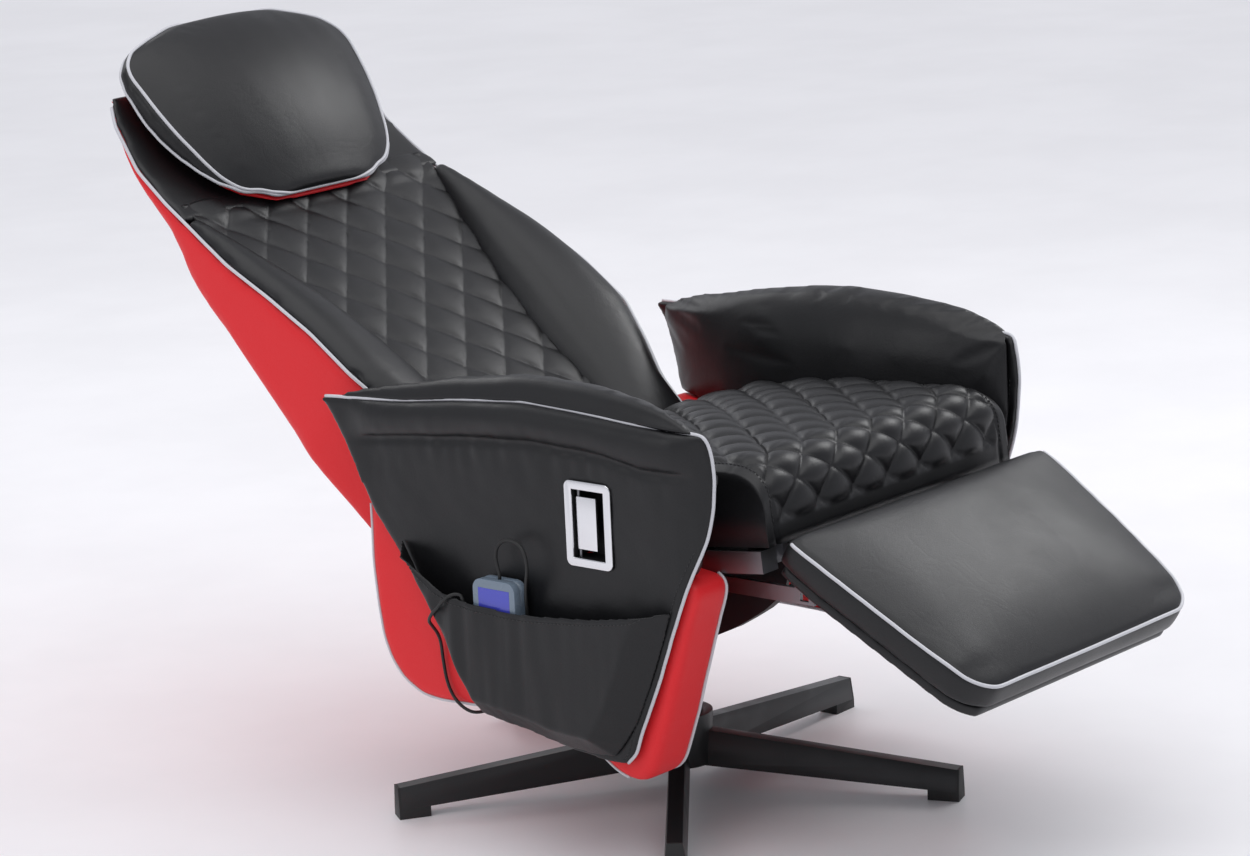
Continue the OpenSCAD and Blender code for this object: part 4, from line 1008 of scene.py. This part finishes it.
@dataclass
class Flank:
    """One side of the chair: the red padded side, the black outer panel and the arm."""

    side: Side
    out: float = 307
    panel_t: float = 12
    inner: float = 232
    piping_r: float = 2.0
    seam_r: float = 1.6
    band: float = 4.5
    groove: float = 3.0
    folds: float = 1.6
    overhang: float = 13
    panel_top: Table = ((-295, 517), (-219, 522), (-134, 527), (-47, 530), (58, 521), (135, 511), (222, 506),
                        (252, 505))
    panel_front: Table = ((-302, 492), (-304, 467), (-301, 436), (-294, 401), (-284, 378), (-265, 336), (-224, 226),
                          (-199, 171), (-190, 146), (-176, 132))
    crease: Table = ((-290, 474), (-216, 474), (-160, 484), (-59, 488), (31, 482), (138, 471), (217, 461))
    panel_out: Table = ((-304, -15), (-285, -7), (-262, -2), (-230, 0), (189, 0), (261, 5))
    outline: Table = (
        (-262, 350), (-272, 344), (-275, 334), (-271, 318), (-265, 303), (-254, 269), (-239, 220), (-228, 184),
        (-206, 126), (-196, 114), (-184, 109), (-168, 110), (-150, 116), (-120, 136), (-80, 152), (-40, 159),
        (20, 160), (110, 156), (140, 159), (168, 174), (186, 196), (197, 222), (203, 260), (206, 305), (206, 380),
    )
    covered: int = 11

    @property
    def word(self) -> str:
        """The side's name in the nodes."""
        return self.side.name.lower()

    def face(self, y: float) -> float:
        """Distance of the outer panel's face from the middle."""
        return self.out + lookup(y, self.panel_out)

    def roll(self, co: Vector) -> float:
        """How far the outer panel's cover stands out: its rolled band, the crease under it and soft puckers."""
        y, z = CHAIR.back_of(co), co.z / MM
        high, crease = lookup(y, self.panel_top), lookup(y, self.crease)
        share = (z - crease) / max(1.0, high - crease)
        band = self.band * math.sin(math.pi * share) ** 0.6 if 0 < share < 1 else 0.0
        near = smooth((y + 290) / 40) * smooth((225 - y) / 50)
        groove = -self.groove * bell(z - crease + 3, 5)
        folds = self.folds * noise.noise(Vector((y / 16, z / 60, 2))) * bell(z - crease + 14, 26)
        return near * (band + groove + folds) + 0.9 * noise.noise(co / 0.055) + 0.4 * noise.noise(co / 0.02)

    def lean(self, co: Vector) -> float:
        """How far the crown bulges out over the panel's top edge."""
        y = CHAIR.back_of(co)
        above = co.z / MM - lookup(y, self.panel_top)
        inward = self.face(y) - self.panel_t - self.side.value * CHAIR.across(co)
        return self.overhang * smooth((above + 6) / 9) * (1 - smooth(inward / 36))

    def build(self, shop: Workshop) -> None:
        """Builds the side's pieces and their piping."""
        turn, word = self.side.value, self.word
        outward = Vector((turn, 0, 0))
        slab = soft_copy(shop.nodes["side_" + word], "red_side_" + word, 4, 6)
        relief(slab, waves(70, 0.7, turn))
        panel = soft_copy(shop.nodes["outer_panel_" + word], "arm_panel_" + word, 3.4, 4)
        relief(panel, lambda co, normal: self.roll(co) * max(0.0, normal.dot(outward)) ** 2)
        pad = soft_copy(shop.nodes["arm_pad_" + word], "arm_crown_" + word, 5, 6)
        CLOTH.swell(pad, 6, (outward, Vector((0, 0, -1))))
        for v in pad.data.vertices:
            v.co.x += turn * self.lean(v.co) * MM
        relief(pad, waves(60, 0.7, turn))
        shop.deliver(slab, "seat", "side_" + word, fill=0.9)
        shop.deliver(panel, "seat", "outer_panel_" + word, fill=0.5)
        shop.deliver(pad, "seat", "arm_pad_" + word, fill=0.8)
        edge = [(y, z + 1) for y, z in reversed(self.panel_top)] + [(y - 2, z) for y, z in self.panel_front]
        line = on_surface(spaced([CHAIR.at(turn * (self.face(y) - 3), y, z) for y, z in edge]), panel, 1.2)
        shop.trim(tube("arm_piping_" + word, relaxed(line), self.piping_r), "seat", Slot.PIPING)
        outer = ("outer", self.out - self.panel_t - 1, self.seam_r, self.covered)
        for name, x, radius, start in (outer, ("inner", self.inner + 2, self.piping_r, 0)):
            ring = spaced([CHAIR.at(turn * x, y, z) for y, z in self.outline[start:]])
            ring = relaxed(on_surface(ring, slab, 0.8 * radius))
            shop.trim(tube(f"side_piping_{name}_{word}", ring, radius), "seat", Slot.PIPING)
        hem = spaced([CHAIR.at(turn * (self.face(y) - 3), y + 9, z) for y, z in self.panel_front[1:]])
        shop.trim(stitches("panel_stitching_" + word, [on_surface(hem, panel, 0.3)]), "seat", Slot.THREAD)


@dataclass
class Pocket:
    """Leather pocket on the right panel, with a hemmed mouth."""

    mouth: Table = ((-240, 319), (-165, 306), (-62, 296), (12, 298), (57, 305), (95, 327), (112, 337))
    face_x: float = -341
    hem: float = 7

    def folds(self, co: Vector, normal: Vector) -> float:
        """Soft upright folds, deepest in the rear part of the pocket."""
        y, z = CHAIR.back_of(co), co.z / MM
        wave = noise.noise(Vector((y / 17, z / 120, 5))) * (0.8 + 1.6 * smooth((y + 120) / 120))
        return wave * max(0.0, -normal.x) + 0.5 * noise.noise(co / 0.03) * max(0.0, -normal.x)

    def build(self, shop: Workshop) -> None:
        """Builds the pocket and its hem."""
        pouch = soft_copy(shop.nodes["side_pocket"], "handset_pocket", 2.2, 3)
        relief(pouch, self.folds)
        shop.deliver(pouch, "seat", "side_pocket", fill=0.1)
        line = spaced([CHAIR.at(self.face_x - 2, y, z - self.hem) for y, z in self.mouth])
        shop.trim(stitches("pocket_stitching", [on_surface(line, pouch, 0.3)]), "seat", Slot.THREAD)


@dataclass
class Backrest:
    """Backrest: red shell, quilted middle, side bolsters and the plain pad behind the headrest."""

    half: float = 250
    length: float = 718
    low: float = 12
    quilt_len: float = 536
    quilt_half: float = 204
    quilt_margin: float = 1.05
    quilt_t: float = 22
    table_len: float = 508
    diamond_w: float = 70
    diamond_l: float = 76
    phase: float = 498
    plump: float = 5.5
    fullness: float = 0.24
    wave: float = 0.7
    piping_r: float = 2.1
    piping_in: float = 3
    notch: float = 527
    notch_depth: float = 4.5
    notch_width: float = 16
    cells: tuple[int, int] = (172, 180)
    half_shares: Table = ((0, 0.86), (0.12, 0.86), (0.2, 0.93), (0.28, 1), (0.41, 1), (0.51, 0.99), (0.6, 0.972),
                          (0.69, 0.93), (0.78, 0.9), (0.87, 0.885), (0.95, 0.87), (1, 0.81))
    edge: Table = ((0, 0), (61, 10), (140, 28), (200, 36), (280, 37), (357, 28), (428, 15), (488, 7), (561, 0),
                   (621, 2), (718, 36))
    quilt_shares: Table = ((0, 0.53), (0.39, 0.59), (0.46, 0.62), (0.6, 0.7), (0.71, 0.78), (0.82, 0.88), (0.96, 1),
                           (1, 1.02))

    def quilt_edge(self, s: float) -> float:
        """Half the quilt's width at a height."""
        return self.quilt_half * lookup((s - self.low) / self.table_len, self.quilt_shares)

    def diamonds(self, s: float) -> float:
        """Counts the diamonds up to a height."""
        return (s - self.phase) / self.diamond_l + 0.5

    def quilt(self, x: float, s: float, proud: float = 0.0) -> Vector:
        """A place on the quilt."""
        t = self.plump * (puff(x / self.diamond_w, self.diamonds(s), self.fullness) - 0.6)
        t += 3 * smooth((s - 500) / 20)
        t += self.wave * noise.noise(Vector((x / 50, s / 50, 7)))
        return CHAIR.back(x, s, t + proud)

    def seams(self) -> list[list[Vector]]:
        """The quilt's lines of stitching."""
        first = self.low + LINE_STEP
        count = int(self.quilt_len / LINE_STEP) - 6
        return diagonals(
            range(-12, 12), (first + LINE_STEP * i for i in range(count)), self.diamond_w, self.diamonds,
            lambda x, s: self.quilt(x, s, 0.4), lambda x, s: abs(x) < self.quilt_edge(s) - 4)

    def piping(self, side: Side) -> list[Vector]:
        """The seam of one side, which dips on the left where the bolster ends."""
        line = []
        for s in range(10, 718, 12):
            dip = self.notch_depth * bell(s - self.notch, self.notch_width) if side is Side.LEFT else 0
            half = self.half * lookup(s / self.length, self.half_shares) - 0.6 * dip
            line.append(CHAIR.back(side.value * half, s, lookup(s, self.edge) - self.piping_in - dip))
        return relaxed(spaced(line))

    def build(self, shop: Workshop) -> None:
        """Builds the backrest's pieces and their piping."""
        wide = self.quilt_margin * self.quilt_half
        drop = CHAIR.back(0, 0, -self.quilt_t) - CHAIR.back(0, 0, 0)

        def form(a: float, b: float) -> Vector:
            """The quilt's place."""
            return self.quilt((2 * a - 1) * wide, self.low + b * self.quilt_len)

        def keep(a: float, b: float) -> bool:
            """Whether the quilt reaches so far."""
            return abs(2 * a - 1) * wide < self.quilt_edge(self.low + b * self.quilt_len) + 5

        quilt = quilted_sheet("quilted_back", *self.cells, form, lambda co: co + drop, keep)
        shop.deliver(quilt, "backrest", "quilted_pad", fill=0.7)
        shop.trim(stitches("back_stitching", self.seams()), "backrest", Slot.THREAD)
        shell = soft_copy(shop.nodes["back_shell"], "red_back_shell", 4.5, 8, CHAIR.back_angle)
        relief(shell, waves(80, 0.6))
        shop.deliver(shell, "backrest", "back_shell", fill=0.9)
        pad = soft_copy(shop.nodes["back_top_pad"], "padded_back_top", 4.5, 6, CHAIR.back_angle)
        shop.deliver(pad, "backrest", "back_top_pad", fill=0.7)
        out = CHAIR.facing(CHAIR.back_angle)
        for side in Side:
            word = side.name.lower()
            bolster = soft_copy(shop.nodes["bolster_" + word], "padded_bolster_" + word, 5, 6, CHAIR.back_angle)
            CLOTH.swell(bolster, 4, (-out, Vector((-side.value, 0, 0))))
            relief(bolster, waves(65, 0.7, side.value))
            shop.deliver(bolster, "backrest", "bolster_" + word, fill=0.9)
            shop.trim(tube("back_piping_" + word, self.piping(side), self.piping_r), "backrest", Slot.PIPING)


@dataclass
class Headrest:
    """Headrest pillow with two piped seams, on a red back panel."""

    half: float = 190
    low: float = 514
    length: float = 254
    seam_low: float = 12
    seam_rise: float = 72
    panel_t: float = 9
    pillow_tilt: float = 16
    rise: float = 8
    draw: float = 0.97
    wide: float = 1.045
    piping_r: float = 2.1
    half_shares: Table = ((0, 0.45), (0.04, 0.62), (0.12, 0.75), (0.22, 0.83), (0.4, 0.92), (0.6, 0.98), (0.78, 1),
                          (0.88, 0.94), (0.95, 0.78), (1, 0.5))
    rear: Table = ((0, 6), (0.2, 8), (0.31, 11), (0.42, 13), (0.57, 23), (0.7, 33), (0.8, 42), (1, 58))
    rungs: Sequence[float] = (0.0, 0.04, 0.12, 0.22, 0.32, 0.42, 0.55, 0.68, 0.78, 0.88, 0.95, 1.0)

    def rim(self, front: bool) -> list[Vector]:
        """The line of the front or the rear seam round the pillow.

        Args:
            front: Whether it is the front seam.

        Returns:
            A closed line.
        """
        def point(side: float, f: float) -> Vector:
            """A place on the seam."""
            base = lookup(f, self.rear) + self.panel_t + 2
            t = max(self.seam_low + self.seam_rise * f, base) + self.rise if front else base
            half = self.half * self.wide * lookup(f, self.half_shares) * (self.draw if front else 1)
            return CHAIR.back(side * half, self.low + self.length * f, t)

        def end(f: int, spots: Triple) -> list[Vector]:
            """Three places across one end."""
            t = self.seam_low + self.seam_rise * f if front else self.rear[-f][1] + self.panel_t
            return [CHAIR.back(x, self.low + self.length * f, t) for x in spots]

        right, left = ([point(side, f) for f in self.rungs] for side in (-1, 1))
        return end(0, (40, 0, -40)) + right + end(1, (-50, 0, 50)) + left[::-1]

    def build(self, shop: Workshop) -> None:
        """Builds the pillow, its back and its piping."""
        tilt = CHAIR.back_angle + self.pillow_tilt
        pillow = soft_copy(shop.nodes["headrest_pillow"], "headrest_cushion", 5, 6, tilt)
        middle = CHAIR.shift_x * MM
        for v in pillow.data.vertices:
            v.co.x = middle + (v.co.x - middle) * self.wide
        rings = {name: spaced(self.rim(name == "front"), closed=True) for name in ("front", "rear")}
        CLOTH.swell(pillow, 8, (-CHAIR.facing(CHAIR.back_angle),), on_surface(rings["front"], pillow, 0))
        relief(pillow, waves(75, 0.8))
        shop.deliver(pillow, "headrest", "headrest_pillow", fill=0.9)
        panel = soft_copy(shop.nodes["headrest_back"], "headrest_red_back", 3.5, 4, CHAIR.back_angle)
        shop.deliver(panel, "headrest", "headrest_back", fill=0.6)
        for name, ring in rings.items():
            line = relaxed(on_surface(ring, pillow, 0.8), closed=True)
            piping = tube("headrest_piping_" + name, line, self.piping_r, closed=True)
            shop.trim(piping, "headrest", Slot.PIPING)


@dataclass
class Footrest:
    """Footrest pad with piping round its top edge, over a covered board."""

    length: float = 276
    half: float = 250
    half_end: float = 213
    corner: float = 45
    corner_out: float = 3
    corner_angles: Sequence[float] = (0, 20, 40, 60, 78)
    straight: Sequence[float] = (4, 60, 120, 180)
    far: Sequence[float] = (150, 100, 50, 0, -50, -100, -150)
    crown: float = 9
    piping_r: float = 2.1

    def crowning(self, co: Vector) -> float:
        """How much higher the pad stands in its middle than at its edges."""
        start = CHAIR.foot(0, 0, 0)
        out = (start - co).dot(start - CHAIR.foot(0, 1, 0)) / MM ** 2
        across = CHAIR.across(co) / self.half
        along = 2 * out / self.length - 1
        return self.crown * max(0.0, 1 - across * across) * max(0.0, 1 - along * along)

    def rim(self) -> list[Vector]:
        """The top edge, from one inner corner round to the other."""
        side = [(self.half + (self.half_end - self.half) * p / self.length, p) for p in self.straight]
        for a in map(math.radians, self.corner_angles):
            across = self.half_end - self.corner * (1 - math.cos(a)) + (1 - math.sin(a)) * self.corner_out
            side.append((across, self.length - self.corner * (1 - math.sin(a))))
        line = side + [(x, self.length) for x in self.far] + [(-x, p) for x, p in reversed(side)]
        return [CHAIR.foot(x, p, -1) for x, p in line]

    def build(self, shop: Workshop) -> None:
        """Builds the pad, its board and its piping."""
        up = CHAIR.facing(CHAIR.foot_tilt)
        pad = soft_copy(shop.nodes["footrest_pad"], "footrest_cushion", 5, 6, CHAIR.foot_tilt)
        edge = spaced(self.rim())
        relief(pad, lambda co, normal: self.crowning(co) * max(0.0, normal.dot(up)))
        CLOTH.swell(pad, 5, (-up,), on_surface(edge, pad, 0))
        relief(pad, waves(80, 0.8))
        shop.deliver(pad, "footrest", "footrest_pad", fill=0.8)
        board = soft_copy(shop.nodes["footrest_board"], "covered_board", 3.5, 3, CHAIR.foot_tilt)
        shop.deliver(board, "footrest", "footrest_board", fill=0.2)
        line = relaxed(on_surface(edge, pad, 1.0))
        shop.trim(tube("footrest_piping", line, self.piping_r), "footrest", Slot.PIPING)


@dataclass
class Rounded:
    """Packed hard solids with their edges rounded: node, piece, body, width of the rounding and faces across it."""

    parts: Roundings = ()

    def build(self, shop: Workshop) -> None:
        """Rounds each one."""
        for node, name, body, width, segments in self.parts:
            shop.deliver(bevelled_copy(shop.nodes[node], name, width, segments), body, node)


@dataclass
class Lever(Rounded):
    """Release lever: a chrome bezel and a brushed paddle."""

    parts: Roundings = (
        ("lever_bezel", "chrome_bezel", "seat", 1.1, 3),
        ("lever_paddle", "brushed_paddle", "lever", 1.2, 3),
    )


@dataclass
class Base(Rounded):
    """Five-legged base and the seat's webbing."""

    parts: Roundings = (
        ("base_legs", "coated_legs", "base", 1.2, 3),
        ("leg_caps", "leg_end_caps", "base", 0.8, 3),
        ("seat_straps", "elastic_straps", "seat", 1.0, 3),
    )


@dataclass
class Handset(Rounded):
    """Wired handset in the pocket, and its cord."""

    parts: Roundings = (
        ("handset_back", "handset_rear_case", "handset", 5.0, 5),
        ("handset_front", "handset_front_case", "handset", 2.0, 4),
    )
    diameter: float = 4
    still: Triple = (-326, 20, 300)
    lifted: Triple = (-326, -10, 325)
    route: Sequence[Triple] = (
        (-326, -20, 328), (-326, -20, 333), (-325, -17, 341), (-324, -14, 352), (-324, -17, 364), (-325, -28, 373),
        (-326, -42, 375), (-327, -55, 370), (-328, -62, 358), (-328, -63, 344), (-327, -60, 330), (-325, -57, 315),
        (-322, -55, 294), (-319, -54, 262), (-316, -54, 226), (-313, -53, 202), (-312, -49, 189), (-312, -40, 182),
        (-312, -28, 181), (-312, -8, 181), (-312, 6, 183), (-314, 14, 190), (-317, 18, 206), (-321, 21, 230),
        (-327, 24, 258), (-332, 27, 280), (-335, 29, 297), (-335.8, 32, 304.4), (-339.5, 38, 305.5),
        (-343.5, 43, 303.5), (-345, 50, 298), (-345, 62, 286), (-343.5, 71, 278), (-338, 80, 268), (-325, 87, 257),
        (-312, 93, 246), (-302.5, 97, 232), (-300, 97, 212), (-300, 93, 188), (-300, 86, 172), (-299.5, 76, 161),
        (-297, 65, 154), (-290, 57, 151), (-270, 52, 150.5), (-245, 50, 151), (-227, 50, 155), (-218, 50, 163),
        (-215, 50, 170), (-214.7, 50, 175.7),
    )

    def build_cord(self, shop: Workshop) -> None:
        line = spaced([CHAIR.at(*p) for p in self.route], 3)
        lead = tube("handset_lead", line, self.diameter / 2, sides=4)
        shop.stand_for(lead, "handset_cord")
        length = sum((b - a).length for a, b in zip(line, line[1:]))
        tuple(line[0])
        [tuple(p) for p in line]
        tuple(CHAIR.at(*self.still))
        tuple(CHAIR.at(*self.lifted))
        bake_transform(lead)


@dataclass
class Studio:
    """Camera, floor, backdrop and lamps."""

    place: Triple = (-3.6975, -3.1255, 1.547)
    azimuth: float = -49.761
    elevation: float = 13.045
    roll: float = -2.521
    focal_px: float = 4200
    frame_px: float = 1250
    floor_half: float = 14
    floor_colours: tuple[Triple, Triple] = ((0.84, 0.83, 0.845), (0.88, 0.87, 0.885))
    backdrop: Triple = (0.775, 0.762, 0.795)
    fill: Triple = (0.9, 0.92, 1.0)
    fill_strength: float = 0.54
    mirrored: float = 0.12
    sun_strength: float = 1.45
    sun_angle: float = 75
    sun_turn: Triple = (12, -8, 0)
    aim_h: float = 0.4
    lamps: Sequence[tuple[str, Triple, Pair, float]] = (
        ("far_side", (2.5, -0.5, 2.35), (1.25, 1.25), 23),
        ("near_side", (-3.8, 0.9, 2.0), (1.4, 1.4), 12),
        ("behind", (0.6, 3.0, 2.6), (2.4, 1.0), 16),
    )

    def hang(self, name: str, data: bpy.types.ID, matrix: Matrix) -> Piece:
        """Puts a camera or a light in the scene."""
        holder = bpy.data.objects.new(name, data)
        holder.matrix_world = matrix
        bpy.context.scene.collection.objects.link(holder)
        return holder

    def build_camera(self) -> None:
        """Sets the camera at the photograph's angle."""
        az, el, roll = (math.radians(v) for v in (self.azimuth, self.elevation, self.roll))
        back = Vector((math.sin(az) * math.cos(el), -math.cos(az) * math.cos(el), math.sin(el)))
        right = Vector((0, 0, 1)).cross(back).normalized()
        up = back.cross(right)
        across = right * math.cos(roll) + up * math.sin(roll)
        upward = up * math.cos(roll) - right * math.sin(roll)
        lens = bpy.data.cameras.new("camera")
        lens.sensor_fit = "HORIZONTAL"
        lens.sensor_width = 36
        lens.lens = lens.sensor_width * self.focal_px / self.frame_px
        lens.clip_end = 60
        turn = Matrix((across, upward, back)).transposed().to_4x4()
        bpy.context.scene.camera = self.hang("camera", lens, Matrix.Translation(self.place) @ turn)

    def build_floor(self) -> None:
        """Lays the pale floor."""
        bm = bmesh.new()
        bmesh.ops.create_grid(bm, x_segments=4, y_segments=4, size=self.floor_half)
        floor = new_piece("studio_floor", bm)
        material = bpy.data.materials.new("pale_floor")
        material.use_nodes = True
        w = Wiring(material.node_tree)
        cloud = w.span(w.noise(w.place(), 2.2, 4, 0.6), 0.3, 0.7)
        values = {"Roughness": 0.38, "Specular IOR Level": 0.35, "Base Color": w.blend(cloud, *self.floor_colours)}
        for key, value in values.items():
            w.feed(w.tree.nodes["Principled BSDF"].inputs[key], value)
        floor.data.materials.append(material)

    def build_air(self) -> None:
        """Sets the even light from all round, and the backdrop that the camera and smooth faces see."""
        world = bpy.data.worlds.new("studio_air")
        world.use_nodes = True
        bpy.context.scene.world = world
        w = Wiring(world.node_tree)
        rays = w.add("ShaderNodeLightPath").outputs
        seen = w.math("MAXIMUM", rays["Is Camera Ray"], w.times(rays["Is Glossy Ray"], self.mirrored))
        fill = w.add("ShaderNodeBackground", {"Color": (*self.fill, 1), "Strength": self.fill_strength})
        drop = w.add("ShaderNodeBackground", {"Color": (*self.backdrop, 1), "Strength": 1.0})
        mix = w.add("ShaderNodeMixShader", {0: seen, 1: fill.outputs[0], 2: drop.outputs[0]})
        w.feed(w.tree.nodes["World Output"].inputs["Surface"], mix.outputs[0])

    def build_lamps(self) -> None:
        """Hangs the broad even light and the soft lamps, which face the chair."""
        sun = bpy.data.lights.new("even_light", "SUN")
        sun.energy = self.sun_strength
        sun.angle = math.radians(self.sun_angle)
        holder = self.hang("even_light", sun, Matrix())
        holder.rotation_euler = tuple(math.radians(v) for v in self.sun_turn)
        for name, place, size, power in self.lamps:
            light = bpy.data.lights.new(name, "AREA")
            light.shape = "RECTANGLE"
            light.size, light.size_y = size
            light.energy = power
            facing = (Vector(place) - Vector((0, 0, self.aim_h))).to_track_quat("Z", "Y")
            self.hang(name, light, Matrix.Translation(place) @ facing.to_matrix().to_4x4())

    def build(self) -> None:
        """Builds the studio round the chair."""
        bpy.context.scene.view_settings.view_transform = "Standard"
        self.build_floor()
        self.build_air()
        self.build_lamps()


def main() -> None:
    """Builds every sub-assembly in order."""
    logging.basicConfig(level=logging.INFO, format="%(name)s %(relativeCreated)d: %(message)s")
    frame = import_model()
    shop = Workshop(frame)
    studio = Studio()
    studio.build_camera()
    handset = Handset()
    handset.build_cord(shop)
    flanks = (Flank(Side.RIGHT), Flank(Side.LEFT))
    for part in (handset, SeatCushion(), *flanks, Pocket(), Lever(), Backrest(), Headrest(), Footrest(), Base()):
        LOG.info("building %s", type(part).__name__)
        part.build(shop)
    studio.build()


if __name__ == "__main__":
    main()
